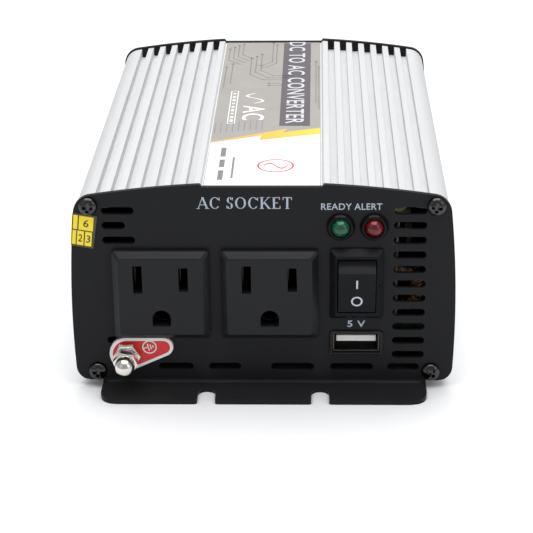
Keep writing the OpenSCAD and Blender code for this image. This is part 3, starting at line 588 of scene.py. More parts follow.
def stripes(axis, pitch, share, colour):
    # thin even lines across an axis, such as turns of tape or moulded ribs
    def paint(tree, place, base):
        part = addNode(tree, "ShaderNodeSeparateXYZ", {0: place}).outputs[axis]
        phase = calc(tree, "FRACT", calc(tree, "DIVIDE", part, pitch))
        return mixColour(tree, calc(tree, "LESS_THAN", phase, share), base, colour)
    return paint


def fade(axis, start, end, first, last):
    # one colour passes into another along an axis
    def paint(tree, place, base):
        part = addNode(tree, "ShaderNodeSeparateXYZ", {0: place}).outputs[axis]
        share = addNode(tree, "ShaderNodeMapRange", {0: part, 1: start, 2: end})
        return mixColour(tree, share.outputs[0], first, last)
    return paint


def speckle(size, share, colour):
    def paint(tree, place, base):
        cells = addNode(tree, "ShaderNodeTexVoronoi", {"Vector": place, "Scale": 1 / size})
        return mixColour(tree, calc(tree, "LESS_THAN", cells.outputs[0], share), base, colour)
    return paint


blackCoat = finish("blackCoat", (0.0135, 0.0138, 0.0150), 0.34, tooth=0.35, depth=0.010, dust=0.05,
                   Specular_IOR_Level=0.10)
alloy = finish("alloy", (0.55, 0.555, 0.555), 0.54, metal=0.10, tooth=0.30, depth=0.012, drift=6.0,
               vary=0.04, gloss=0.06, stretch=(1, 0.05, 1), paint=speckle(0.5, 0.10, (0.72, 0.73, 0.73)))
# a lighter copy of the alloy for the groove walls and floors: painted light that offsets the shade in the
# grooves, beside the darker alloy on the fin tops
alloyGroovePaintedLight = finish("alloyGroovePaintedLight", (0.66, 0.665, 0.665), 0.6, metal=0.05, tooth=0.30, depth=0.012,
                     drift=6.0, vary=0.03)
# a near-black copy of the alloy: painted shade for the cavity inside the housing and for its end faces
# behind the panels
alloyPaintedShade = finish("alloyPaintedShade", (0.045, 0.045, 0.047), 0.6, metal=0.2, tooth=0.3, depth=0.01)
darkScrew = finish("darkScrew", (0.060, 0.059, 0.058), 0.10, metal=1.0, tooth=0.4, depth=0.004)
outletResin = finish("outletResin", (0.0095, 0.0100, 0.0120), 0.34, tooth=0.22, depth=0.014,
                     vary=0.08, dust=0.05, Specular_IOR_Level=0.20)
switchResin = finish("switchResin", (0.0080, 0.0084, 0.0098), 0.34, tooth=0.18, depth=0.006,
                     Specular_IOR_Level=0.10)
glossBlack = finish("glossBlack", (0.005, 0.005, 0.006), 0.14, tooth=0.8, depth=0.003, gloss=0.04,
                    Specular_IOR_Level=0.12)
# brass contacts darkened nearly to black: painted shade inside the outlet slots and the charging port
contactPaintedShade = finish("contactPaintedShade", (0.060, 0.050, 0.035), 0.4, metal=0.9, tooth=0.3, depth=0.004)
portMetal = finish("portMetal", (0.10, 0.09, 0.08), 0.34, metal=1.0, tooth=0.5, depth=0.004)
brass = finish("brass", (0.80, 0.58, 0.24), 0.30, metal=1.0, tooth=0.3, depth=0.004,
               stretch=(1, 0.1, 1))
greenLens = finish("greenLens", (0.004, 0.17, 0.075), 0.08, tooth=1.5, depth=0.002, gloss=0.03,
                   Transmission_Weight=0.6, IOR=1.52)
redLens = finish("redLens", (0.24, 0.004, 0.008), 0.08, tooth=1.5, depth=0.002, gloss=0.03,
                 Transmission_Weight=0.6, IOR=1.52)
solderMask = finish("solderMask", (0.010, 0.085, 0.035), 0.32, tooth=0.3, depth=0.01,
                    paint=speckle(2.6, 0.16, (0.55, 0.50, 0.36)))
nickel = finish("nickel", (0.72, 0.69, 0.64), 0.17, metal=1.0, tooth=0.6, depth=0.004, gloss=0.05)
whiteResin = finish("whiteResin", (0.80, 0.80, 0.77), 0.35, tooth=0.3, depth=0.004, vary=0.03)
tagRed = finish("tagRed", (0.64, 0.010, 0.008), 0.26, tooth=0.5, depth=0.004, vary=0.06)
tagWhite = finish("tagWhite", (0.82, 0.80, 0.78), 0.30, tooth=0.5, depth=0.004, vary=0.03)
labelField = finish("labelField", (0.34, 0.32, 0.295), 0.34, tooth=0.25, depth=0.003, drift=9,
                    vary=0.07)
labelWhite = finish("labelWhite", (0.84, 0.84, 0.83), 0.30, tooth=0.4, depth=0.002, vary=0.02)
labelBand = finish("labelBand", (0.105, 0.095, 0.105), 0.30, tooth=0.4, depth=0.002, vary=0.06)
labelYellow = finish("labelYellow", (0.86, 0.46, 0.03), 0.30, tooth=0.4, depth=0.002, vary=0.05,
                     paint=fade("X", -14.0, 14.0, (0.86, 0.33, 0.10), (0.93, 0.60, 0.04)))
inkText = finish("inkText", (0.60, 0.58, 0.61), 0.36, tooth=0.3, depth=0.002, vary=0.05)
labelLine = finish("labelLine", (0.20, 0.185, 0.17), 0.34, tooth=0.4, depth=0.002)
inkGrey = finish("inkGrey", (0.20, 0.20, 0.21), 0.4, tooth=0.2, depth=0.002)
inkViolet = finish("inkViolet", (0.20, 0.19, 0.30), 0.4, tooth=0.2, depth=0.002)
inkRed = finish("inkRed", (0.55, 0.05, 0.05), 0.4, tooth=0.2, depth=0.002)
inkBright = finish("inkBright", (0.55, 0.60, 0.68), 0.42, tooth=0.15, depth=0.004, vary=0.06, drift=1.5)
inkPale = finish("inkPale", (0.40, 0.46, 0.53), 0.42, tooth=0.15, depth=0.004, vary=0.10, drift=1.5)
stickerYellow = finish("stickerYellow", (0.93, 0.72, 0.02), 0.45, tooth=0.2, depth=0.006,
                       vary=0.05)
stickerInk = finish("stickerInk", (0.055, 0.050, 0.018), 0.45, tooth=0.2, depth=0.003,
                    paint=speckle(0.35, 0.10, (0.30, 0.26, 0.05)))
fanResin = finish("fanResin", (0.016, 0.016, 0.018), 0.42, tooth=0.25, depth=0.008)
copper = finish("copper", (0.72, 0.28, 0.10), 0.26, metal=0.9, tooth=0.4, depth=0.004, vary=0.18,
                drift=4)
knobBlack = finish("knobBlack", (0.014, 0.014, 0.016), 0.30, tooth=0.3, depth=0.006)
knobRed = finish("knobRed", (0.42, 0.012, 0.012), 0.28, tooth=0.3, depth=0.006, vary=0.06)
ferrite = finish("ferrite", (0.045, 0.045, 0.050), 0.55, tooth=0.2, depth=0.02, metal=0.2)
windingTape = finish("windingTape", (0.72, 0.48, 0.05), 0.30, tooth=0.5, depth=0.006,
                     paint=stripes("Z", 5.2, 0.05, (0.45, 0.27, 0.02)))
ringCore = finish("ringCore", (0.62, 0.58, 0.34), 0.50, tooth=0.2, depth=0.015)
sleeve = finish("sleeve", (0.020, 0.030, 0.085), 0.25, tooth=0.6, depth=0.004,
                paint=stripes("X", 15.0, 0.10, (0.42, 0.45, 0.50)))
canTop = finish("canTop", (0.70, 0.70, 0.69), 0.30, metal=1.0, tooth=0.3, depth=0.006)
fuseAmber = finish("fuseAmber", (0.80, 0.36, 0.02), 0.16, tooth=0.6, depth=0.003,
                   Transmission_Weight=0.35, IOR=1.5)
chipBlack = finish("chipBlack", (0.022, 0.022, 0.024), 0.50, tooth=0.18, depth=0.012)
padGrey = finish("padGrey", (0.42, 0.46, 0.48), 0.7, tooth=0.3, depth=0.01)
leadWhite = finish("leadWhite", (0.66, 0.64, 0.56), 0.40, tooth=0.4, depth=0.004)
leadBlack = finish("leadBlack", (0.014, 0.014, 0.014), 0.40, tooth=0.4, depth=0.004)
leadRed = finish("leadRed", (0.45, 0.015, 0.012), 0.40, tooth=0.4, depth=0.004)
print("finishes ready")


# ---- the case outline ----

def arcPoints(centre, radius, start, end, steps):
    return [centre + radius * Vector((math.cos(math.radians(a)), math.sin(math.radians(a))))
            for a in (start + (end - start) * k / steps for k in range(1, steps + 1))]


def heading(v):
    return math.degrees(math.atan2(v.y, v.x))


def crossing(a, ra, b, rb):
    # where two circles meet, on the outer side
    far = (b - a).length
    along = (b - a) / far
    t = (ra * ra - rb * rb + far * far) / (2 * far)
    return a + t * along + math.sqrt(ra * ra - t * t) * Vector((along.y, -along.x))


def crownAt(x):
    radius = caseSize["crownRadius"]
    return caseSize["crown"] - radius + math.sqrt(radius ** 2 - x * x)


def sideAt(z, inset=0.0):
    size = caseSize
    reach = math.sqrt((size["bulgeRadius"] - inset) ** 2 - (z - size["bulgeHeight"]) ** 2)
    return size["width"] / 2 - size["bulgeRadius"] + reach


def rightSide(inset, floorZ):
    # from the channel's corner over the crown and down the side to the lower edge
    size = caseSize
    half = size["width"] / 2
    crownC = Vector((0, size["crown"] - size["crownRadius"]))
    bulgeC = Vector((half - size["bulgeRadius"], size["bulgeHeight"]))
    crownR, bulgeR = size["crownRadius"] - inset, size["bulgeRadius"] - inset
    topR, lowR = size["topCorner"] - inset, size["lowCorner"] - inset
    topC = crossing(crownC, crownR - topR, bulgeC, bulgeR - topR)
    lowZ = size["lift"] + inset + lowR
    lowC = Vector((bulgeC.x + math.sqrt((bulgeR - lowR) ** 2 - (lowZ - bulgeC.y) ** 2), lowZ))
    lip = size["channel"] / 2
    rise = 0.0
    for _ in range(12):  # settles where the channel's flared wall meets the crown
        rise = crownAt(lip + size["flare"] * rise) - inset - floorZ
    first = Vector((lip + size["flare"] * rise, floorZ + rise))
    a1, a2, a3 = heading(topC - crownC), heading(topC - bulgeC), heading(lowC - bulgeC)
    return ([Vector((lip, floorZ)), first]
            + arcPoints(crownC, crownR, heading(first - crownC), a1, 16)
            + arcPoints(topC, topR, a1, a2, 12) + arcPoints(bulgeC, bulgeR, a2, a3, 16)
            + arcPoints(lowC, lowR, a3, -90, 10))


def mirrored(points):
    return [Vector((-p.x, p.y)) for p in reversed(points)]


# ---- housing ----

housing = {"wall": 2.0, "web": 1.3, "grooveWidth": 2.2, "grooveDepth": 3.0, "groovePitch": 4.15,
           "firstGroove": 19.8, "grooveCount": 7, "edge": 0.2, "railIn": 5.05, "landIn": 4.45,
           "land": (14, 34), "upperRail": (9.8, 11.4), "lowerRail": (7.8, 8.0), "webHalf": 45.0,
           "webLow": 52.4, "toe": [(46.5, 7.8), (44.4, 6.5)], "skinDepth": 2.2, "roofDepth": 4.3,
           "floorTop": 3.9, "finTop": 1.1}


def makeRibTree():
    # grooves between the fins: a bar at every step on both sides, cut out of the extrusion
    tree, given = geometryTree("finGrooves", [
        ("Groove Count", "Int"), ("First Groove", "Float"), ("Groove Pitch", "Float"),
        ("Groove Width", "Float"), ("Groove Depth", "Float"), ("Crown Radius", "Float"),
        ("Crown Height", "Float"), ("Length", "Float"), ("Finish", "Material")])
    index = addNode(tree, "GeometryNodeInputIndex").outputs[0]
    side = calc(tree, "SUBTRACT", calc(tree, "MULTIPLY", calc(tree, "MODULO", index, 2.0), 2.0), 1.0)
    step = calc(tree, "FLOOR", calc(tree, "MULTIPLY", index, 0.5))
    reach = calc(tree, "ADD", given["First Groove"], calc(tree, "MULTIPLY", step, given["Groove Pitch"]))
    square = calc(tree, "SUBTRACT", calc(tree, "POWER", given["Crown Radius"], 2.0),
                  calc(tree, "POWER", reach, 2.0))
    crown = calc(tree, "ADD", calc(tree, "SUBTRACT", given["Crown Height"], given["Crown Radius"]),
                 calc(tree, "SQRT", square))
    place = addNode(tree, "ShaderNodeCombineXYZ",
                    {"X": calc(tree, "MULTIPLY", side, reach), "Z": crown})
    count = calc(tree, "MULTIPLY", given["Groove Count"], 2.0)
    points = addNode(tree, "GeometryNodePoints", {"Count": count, "Position": place.outputs[0]})
    size = addNode(tree, "ShaderNodeCombineXYZ",
                   {"X": given["Groove Width"], "Y": given["Length"],
                    "Z": calc(tree, "MULTIPLY", given["Groove Depth"], 2.0)})
    bar = addNode(tree, "GeometryNodeMeshCube", {"Size": size.outputs[0]})
    bars = addNode(tree, "GeometryNodeInstanceOnPoints",
                   {"Points": points.outputs[0], "Instance": bar.outputs[0]})
    solid = addNode(tree, "GeometryNodeRealizeInstances", {"Geometry": bars.outputs[0]})
    cut = addNode(tree, "GeometryNodeMeshBoolean",
                  {"Mesh 1": given["Geometry"], "Mesh 2": solid.outputs[0]},
                  operation="DIFFERENCE", solver="EXACT")
    return closeTree(tree, cut.outputs[0], given["Finish"])


def innerOutline():
    size, own = caseSize, housing
    half = size["width"] / 2
    skin = size["rim"] + own["wall"]
    roof = size["rim"] + own["grooveDepth"] + own["web"]
    rail, floorZ = half - own["railIn"], size["lift"] + skin
    places = [own["webHalf"] * k / 12 for k in range(13)]
    right = [(x, crownAt(x) - roof) for x in places] + [(sideAt(own["webLow"], skin), own["webLow"])]
    for reach, (low, top) in ((half - own["landIn"], own["land"]), (rail, own["upperRail"])):
        right += [(sideAt(top, skin), top), (reach, top), (reach, low), (sideAt(low, skin), low)]
    low, top = own["lowerRail"]
    right += [(sideAt(top, skin), top), (rail, top), (rail, low), *own["toe"],
              (own["toe"][-1][0], floorZ)]
    right = [Vector(p) for p in right]
    return right + mirrored(right)[:-1]


def buildHousing():
    size, own = caseSize, housing
    rim = size["rim"]
    right = rightSide(rim, size["crown"] - rim - size["channelDrop"])
    shell = plate([right + mirrored(right), innerOutline()], housingLow.y, housingHigh.y)
    shell = grown(cleaned(shell, 0.05), makeRibTree(), {
        "Groove Count": own["grooveCount"], "First Groove": own["firstGroove"],
        "Groove Pitch": own["groovePitch"], "Groove Width": own["grooveWidth"],
        "Groove Depth": own["grooveDepth"], "Crown Radius": float(size["crownRadius"]),
        "Crown Height": size["crown"] - rim, "Length": housingHigh.y - housingLow.y + 2,
        "Finish": alloy})
    shell = beveled(cleaned(shell, 0.05), own["edge"], 2, 40)
    # painted shade and painted light by face: the cavity and the end faces take the near-black alloy copy,
    # the groove walls and floors the lighter alloy copy
    for face in shell.polygons:
        x, z = face.center.x, face.center.z
        under = crownAt(x) - z
        within = abs(x) < sideAt(z) - own["skinDepth"]
        cavityShade = within and z > own["floorTop"] and under > own["roofDepth"]
        grooveLight = within and own["finTop"] < under < own["roofDepth"]
        endFaceShade = abs(face.normal.y) > 0.99
        face.material_index = 1 if cavityShade or endFaceShade else 2 if grooveLight else 0
    piece("housing_extrusion", shell, [alloy, alloyPaintedShade, alloyGroovePaintedLight], stands=("housing",))


buildHousing()
print("housing ready")


# ---- end panels ----

panel = {"footWidth": 92, "relief": 0.8, "foldRadius": 1.0, "footCorner": 5.5, "slotWidth": 5.0,
         "slotDepth": 7.5, "slotPitch": 32, "mouthRadius": 0.9, "edge": 0.16, "blankFold": 2.7,
         "ventLength": 9.1, "ventHeight": 2.2, "ventPitch": 4.365, "firstVent": 10.15,
         "ventIn": 13.05, "ventCount": 11, "lowVent": 6.25, "screwHole": 1.7, "lampHole": 3.2,
         "studHole": 2.2, "fanHole": 18.5, "postHole": 4.5,
         # row and length of the vents beside the outlets
         "leftVents": [(0, 3.0), (1, 3.0), (8, 9.1), (9, 6.5), (10, 9.1)],
         # side, distance from that side and length of the vents along the foot
         "lowVents": [(-1, 28.8, 10), (-1, 42.7, 9.2), (1, 45.6, 12.2), (1, 28.85, 12.2), (1, 14.3, 9)],
         "rearLowVents": {"first": 25, "pitch": 14, "count": 5, "length": 9.2}}


def makePunchTree():
    # fills the drawn loops, leaving a column of slots open, and gives the sheet its thickness
    tree, given = geometryTree("punchedSheet", [
        ("Vent Count", "Int"), ("First Vent", "Vector"), ("Vent Step", "Vector"),
        ("Vent Length", "Float"), ("Vent Height", "Float"), ("Sheet", "Float"),
        ("Finish", "Material")])
    drawn = addNode(tree, "GeometryNodeMeshToCurve", {"Mesh": given["Geometry"]}).outputs[0]
    box = addNode(tree, "GeometryNodeCurvePrimitiveQuadrilateral",
                  {"Width": given["Vent Length"], "Height": given["Vent Height"]})
    corner = calc(tree, "MULTIPLY", given["Vent Height"], 0.499)
    vent = addNode(tree, "GeometryNodeFilletCurve", {"Curve": box.outputs[0], "Radius": corner})
    if "Mode" in vent.inputs:
        vent.inputs["Mode"].default_value = "Poly"
    else:
        vent.mode = "POLY"
    vent.inputs["Count"].default_value = 6
    column = addNode(tree, "GeometryNodeMeshLine",
                     {"Count": given["Vent Count"], "Start Location": given["First Vent"],
                      "Offset": given["Vent Step"]})
    vents = addNode(tree, "GeometryNodeInstanceOnPoints",
                    {"Points": column.outputs[0], "Instance": vent.outputs[0]})
    real = addNode(tree, "GeometryNodeRealizeInstances", {"Geometry": vents.outputs[0]}).outputs[0]
    every = addNode(tree, "GeometryNodeJoinGeometry")
    tree.links.new(drawn, every.inputs[0])
    tree.links.new(real, every.inputs[0])
    flat = addNode(tree, "GeometryNodeFillCurve", {"Curve": every.outputs[0]}).outputs[0]
    raised = addNode(tree, "GeometryNodeExtrudeMesh",
                     {"Mesh": flat, "Offset Scale": given["Sheet"], "Individual": False})
    under = addNode(tree, "GeometryNodeFlipFaces", {"Mesh": flat}).outputs[0]
    both = addNode(tree, "GeometryNodeJoinGeometry")
    tree.links.new(raised.outputs[0], both.inputs[0])
    tree.links.new(under, both.inputs[0])
    closed = addNode(tree, "GeometryNodeMergeByDistance", {"Geometry": both.outputs[0],
                                                           "Distance": 0.0005})
    return closeTree(tree, closed.outputs[0], given["Finish"])


punchTree = makePunchTree()


def blankOutline():
    # the flat blank: panel above, and the foot below the fold line
    own, size = panel, caseSize
    fold = own["foldRadius"] + sheetThick
    right = rightSide(0.0, size["crown"] - size["channelDrop"])
    half = own["footWidth"] / 2
    tip = fold - own["blankFold"] - (footReach() - own["foldRadius"])
    slotX, slotR = own["slotPitch"] / 2, own["slotWidth"] / 2
    slotTop = tip + own["slotDepth"]
    right += [Vector((half + own["relief"], size["lift"])), Vector((half + own["relief"], fold)),
              Vector((half, fold))]
    right += filleted([(half, fold), (half, tip), (slotX + slotR, tip)],
                      own["footCorner"], 8, False)[1:-1]
    right += filleted([(half, tip), (slotX + slotR, tip), (slotX + slotR, slotTop)],
                      own["mouthRadius"], 4, False)[1:-1]
    right += [Vector((slotX + slotR * math.cos(a), slotTop - slotR + slotR * math.sin(a)))
              for a in (math.pi * k / 12 for k in range(13))]
    right += filleted([(slotX - slotR, slotTop), (slotX - slotR, tip), (0, tip)],
                      own["mouthRadius"], 4, False)[1:-1]
    return right + mirrored(right)


def footReach():
    return faceY - span("front_panel")[0].y


def folded(mesh, rear):
    # bends the blank's foot forward; the rear panel is the same sheet turned round
    own = panel
    fold = own["foldRadius"] + sheetThick
    bm = load(mesh)
    for k in range(9):
        split(bm, fold - own["blankFold"] * k / 8, (0, 1, 0))
    for v in bm.verts:
        x, s, t = v.co
        past = (fold - s) / own["blankFold"]
        if past <= 0:
            y, z = faceY + t, s
        else:
            turn = min(past, 1) * math.pi / 2
            radius = own["foldRadius"] + t
            y = faceY - own["foldRadius"] + radius * math.cos(turn)
            z = fold - radius * math.sin(turn)
            y -= max(0, past - 1) * own["blankFold"]
        v.co = (-x, -y, z) if rear else (x, y, z)
    bmesh.ops.recalc_face_normals(bm, faces=bm.faces)
    return keep(bm)


def sheetPiece(name, node, loops, firstRow, rear=False):
    bm = bmesh.new()
    for loop in [blankOutline()] + loops:
        ring = [bm.verts.new((p[0], p[1], 0)) for p in loop]
        for k in range(len(ring)):
            bm.edges.new((ring[k - 1], ring[k]))
    bmesh.ops.remove_doubles(bm, verts=bm.verts, dist=1e-3)
    own = panel
    ventX = caseSize["width"] / 2 - own["ventIn"]
    blank = grown(keep(bm), punchTree, {
        "Vent Count": own["ventCount"] - 2 * firstRow,
        "First Vent": (ventX, own["firstVent"] + firstRow * own["ventPitch"], 0),
        "Vent Step": (0, own["ventPitch"], 0), "Vent Length": own["ventLength"],
        "Vent Height": own["ventHeight"], "Sheet": sheetThick, "Finish": blackCoat})
    blank = beveled(cleaned(blank, 0.1), own["edge"], 2, 40)
    piece(name, folded(blank, rear), [blackCoat], stands=(node,), smooth=30)


screwPlaces = [(x * (caseSize["width"] / 2 - inX), z)
               for x in (-1, 1) for inX, z in ((6.05, 55.2), (6.45, 4.9))]


def fourAround(x, z, reach):
    return [(x + i * reach, z + k * reach) for i in (-1, 1) for k in (-1, 1)]


def holeFor(node, gap):
    # an opening around what passes through the sheet
    low, high = span(node)
    place = (low + high) / 2
    return boxLoop(place.x, place.z, high.x - low.x - gap, high.z - low.z - gap)


def lowSlots(spots):
    return [slotLoop(x, panel["lowVent"], length, panel["ventHeight"]) for x, length in spots]


def buildFrontPanel():
    own = panel
    half = caseSize["width"] / 2
    stud = middle("earth_stud")
    lamps = [middle("power_led_holder"), middle("fault_led_holder")]
    loops = [holeFor("left_outlet", 2.2), holeFor("right_outlet", 2.2),
             holeFor("switch_housing", 2.1), holeFor("port_frame", 1.0)]
    loops += [ringLoop(at.x, at.z, own["lampHole"]) for at in lamps]
    loops.append(ringLoop(stud.x, stud.z, own["studHole"]))
    for row, length in own["leftVents"]:
        x = 1 - half + own["ventIn"] - own["ventLength"] / 2 + length / 2
        loops.append(slotLoop(x, own["firstVent"] + row * own["ventPitch"], length, own["ventHeight"]))
    loops += lowSlots([(side * (half - inX), length) for side, inX, length in own["lowVents"]])
    loops += [ringLoop(x, z, own["screwHole"], 24) for x, z in screwPlaces]
    sheetPiece("front_panel_sheet", "front_panel", loops, 0)


def buildRearPanel():
    # seen from its own front it runs the other way round
    own = panel
    row = own["rearLowVents"]
    fan = middle("fan_frame")
    posts = [middle("negative_post"), middle("positive_post")]
    first = caseSize["width"] / 2 - row["first"]
    loops = [ringLoop(-fan.x, fan.z, own["fanHole"], 72)]
    loops += [ringLoop(x, z, own["screwHole"], 24) for x, z in fourAround(-fan.x, fan.z, fanBolt)]
    loops += [ringLoop(-at.x, at.z, own["postHole"]) for at in posts]
    loops += lowSlots([(first - k * row["pitch"], row["length"]) for k in range(row["count"])])
    loops += [ringLoop(x, z, own["screwHole"], 24) for x, z in screwPlaces]
    sheetPiece("rear_panel_sheet", "rear_panel", loops, 1, rear=True)


buildFrontPanel()
buildRearPanel()
print("panels ready")


# ---- screws ----

screw = {"head": 5.2, "rise": 1.9, "shank": 1.15, "length": 9, "fanShank": 1.45, "recess": 3.9}


def panScrew(headD, rise, shankR, length, recess):
    # pan head with a tapered cross, its head towards the front, its seat at the origin
    profile = [(0, length), (shankR * 0.5, length), (shankR, length - shankR), (shankR, 0.0),
               (headD / 2, 0.0)]
    dome = [(headD / 2 * math.cos(a), -rise * 0.3 - rise * 0.7 * math.sin(a))
            for a in (math.pi / 2 * k / 9 for k in range(10))]
    head = lathe(profile + dome[:-1] + [(0, -rise)], steps=32)
    arms = []
    for turn in (0, 90):
        bar = block((-recess / 2, -rise - 1, -recess / 8), (recess / 2, -rise * 0.35, recess / 8))
        for v in bar.vertices:
            if v.co.y > -rise:
                v.co.x *= 0.55
        arms.append((moved(bar, turn=turn), 0))
    first = carved(head, arms[0][0])
    return carved(first, arms[1][0])


def screwSet(name, node, model, spots, seed, rear):
    # the same screw at every spot, each turned by chance; a rear set is turned round
    mesh = copies(model, spots, darkScrew, math.pi, seed)
    if rear:
        mesh.transform(Matrix.Rotation(math.pi, 4, "Z"))
    piece(name, mesh, [darkScrew], stands=(node,), smooth=40)


def buildScrews():
    own = screw
    model = panScrew(own["head"], own["rise"], own["shank"], own["length"], own["recess"])
    spots = [(x, faceY, z) for x, z in screwPlaces]
    screwSet("front_panel_screw_set", "front_panel_screws", model.copy(), spots, 5, False)
    screwSet("rear_panel_screw_set", "rear_panel_screws", model.copy(), spots, 8, True)
    low, high = span("fan_screws")
    fan = middle("fan_frame")
    long = panScrew(own["head"], own["rise"], own["fanShank"], high.y - low.y - own["rise"],
                    own["recess"])
    seat = own["rise"] - high.y
    spots = [(x, seat, z) for x, z in fourAround(-fan.x, fan.z, fanBolt)]
    screwSet("fan_screw_set", "fan_screws", long, spots, 11, True)


buildScrews()
print("screws ready")


# ---- outlets, switch and charging port ----

outlet = {"chamfer": 1.7, "lean": 1.0, "corner": 0.9, "bladeHalf": 6.35, "bladeUp": 5.3,
          "bladeWide": 2.5, "leftBlade": 8.2, "rightBlade": 7.0, "earthDown": 6.6,
          "earthRadius": 2.55, "earthFlat": 2.3, "rim": 0.42}


def outletHoles(at):
    own = outlet
    r, earthZ = own["earthRadius"], at.z - own["earthDown"]
    flat = [(at.x + side * r, earthZ - drop)
            for side, drop in ((-1, 0), (-1, own["earthFlat"]), (1, own["earthFlat"]), (1, 0))]
    dome = [(at.x + r * math.cos(a), earthZ + r * math.sin(a))
            for a in (math.pi * k / 20 for k in range(21))]
    blades = [boxLoop(at.x + side * own["bladeHalf"], at.z + own["bladeUp"], own["bladeWide"],
                      own[tall], 0.15) for side, tall in ((-1, "leftBlade"), (1, "rightBlade"))]
    return blades + [dome + filleted(flat, 0.4, 4, False)[1:-1]]


def leanedIn(mesh, at, width, height, rise):
    # the outer wall leans in towards the face
    bm = load(mesh)
    split(bm, rise, (0, 1, 0))
    for v in bm.verts:
        x, z = v.co.x - at.x, v.co.z - at.z
        pull = (rise - v.co.y) * outlet["lean"]
        if pull > 0 and abs(x) / width > outlet["rim"]:
            v.co.x -= math.copysign(min(pull, abs(x)), x)
        if pull > 0 and abs(z) / height > outlet["rim"]:
            v.co.z -= math.copysign(pull, z)
    return keep(bm)


def buildOutlets():
    own = outlet
    for side in ("left", "right"):
        node = side + "_outlet"
        at = middle(node)
        low, high = span(node)
        width, height = high.x - low.x, high.z - low.z
        outline = boxLoop(at.x, at.z, width, height, own["corner"])
        face = plate([outline, *outletHoles(at)], low.y, faceY, 0.14)
        face = leanedIn(face, at, width, height, low.y + own["chamfer"])
        rear = load(cadShape(node))
        split(rear, 0.02 - faceY, (0, -1, 0), clear_outer=True)
        piece(node + "_face", merged([(face, 0), (keep(rear), 0)]), [outletResin],
              stands=(node,), smooth=30)
        # the contacts take the darkened brass: painted shade behind the slots
        softened(node + "_contacts", 0.12, [contactPaintedShade])


rocker = {"markSize": 2.9, "upperMark": 1.85, "lowerMark": -3.9, "barWide": 0.5, "ringWide": 0.48,
          "markLift": 0.035}


def buildSwitch():
    softened("switch_housing", 0.35, [switchResin], segments=3)
    softened("switch_rocker", 0.35, [switchResin], "rocker", segments=3)
    softened("switch_plunger", 0.1, [brass], "rocker")
    softened("switch_arm", 0.1, [brass], "contact_arm")
    softened("switch_terminals", 0.1, [brass])
    own = rocker
    centre = middle("switch_housing")
    bar = fineSheet([boxLoop(0, 0, own["barWide"], own["markSize"])])
    outer = own["markSize"] / 2 + 0.15
    ring = fineSheet([ringLoop(0, 0, outer), ringLoop(0, 0, outer - own["ringWide"])])
    marks = [(standing(mark, centre.x, faceY - 6, centre.z + up), 0)
             for mark, up in ((bar, own["upperMark"]), (ring, own["lowerMark"]))]
    mesh = laidOn(merged(marks), cadShape("switch_rocker"), own["markLift"])
    piece("rocker_marks", mesh, [inkBright], "rocker")


port = {"fingers": 4, "pitch": 2.3, "half": 0.5, "back": (0.8, 7), "up": (-0.27, -0.05)}


def buildPort():
    softened("port_frame", 0.18, [outletResin])
    softened("port_shell", 0.1, [portMetal])
    softened("port_tongue", 0.2, [whiteResin])
    softened("port_board", 0.1, [solderMask])
    own = port
    front, under = span("port_tongue")[0].y, middle("port_shell").z
    finger = beveled(block((-own["half"], front + own["back"][0], under + own["up"][0]),
                           (own["half"], front + own["back"][1], under + own["up"][1])), 0.05)
    centre = middle("port_tongue").x
    spots = [(centre + own["pitch"] * (k - (own["fingers"] - 1) / 2), 0, 0)
             for k in range(own["fingers"])]
    # the fingers take the darkened brass: painted shade inside the port
    piece("port_fingers", copies(finger, spots, brass), [contactPaintedShade])


buildOutlets()
buildSwitch()
buildPort()
print("outlets, switch and port ready")


# ---- indicators ----

lamp = {"holder": 8.2, "out": 1.6, "lens": 5.0, "gap": 0.1, "tip": 3.4, "stem": 3.1, "foot": 5,
        "flange": 0.4, "wire": 0.25, "cup": [(0, 1.2), (0.55, 1.2), (1.15, 0.5), (1.35, 0.5),
                                             (1.35, 2.4), (0, 2.4)]}


def buildLamp(name, lens):
    own = lamp
    at = middle(name + "_led_holder")
    bore, rim, foot = own["lens"] / 2 + own["gap"], own["holder"] / 2, own["foot"]
    ring = filleted([(r, faceY + y) for r, y in (
        (bore, foot), (bore, -own["out"]), (bore + 0.7, -own["out"]), (rim - 0.35, -own["out"] * 0.55),
        (rim, 0), (own["stem"], 0), (own["stem"], foot))], 0.5, 4)
    piece(name + "_led_ring", lathe(ring, at.x, at.z, 64, closed=True), [glossBlack],
          stands=(name + "_led_holder",), smooth=50)
    r, wide, end = own["lens"] / 2, own["wire"], span(name + "_led")[1].y
    dome = [(r * math.sin(a), faceY - own["tip"] + r - r * math.cos(a))
            for a in (math.pi / 2 * k / 12 for k in range(13))]
    flange = [(r, foot), (r + own["flange"], foot), (r + own["flange"], foot + 1), (0, foot + 1)]
    body = dome + [(radius, faceY + y) for radius, y in flange]
    start = faceY + foot + 1
    wires = [(lathe([(0, start), (wide, start), (wide, end), (0, end)], at.x + x, at.z, 12), 1)
             for x in (-lampWire, lampWire)]
    piece(name + "_led_lens", merged([(lathe(body, at.x, at.z, 48), 0)] + wires), [lens, nickel],
          stands=(name + "_led",), smooth=50)
    cup = filleted([(radius, faceY + y) for radius, y in own["cup"]], 0.08, 2, False)
    piece(name + "_led_cup", lathe(cup, at.x, at.z, 32), [canTop])


def buildLamps():
    buildLamp("power", greenLens)
    buildLamp("fault", redLens)
    softened("led_board", 0.1, [solderMask])


buildLamps()
print("indicators ready")


# ---- earth terminal ----

earth = {"flats": 7.0, "capFlats": 6.2, "stud": 2.0, "tag": 1.6, "nut": 3.0, "washer": 0.7,
         "cap": 3.0, "dome": 2.8,
         "tagEdge": 0.9}


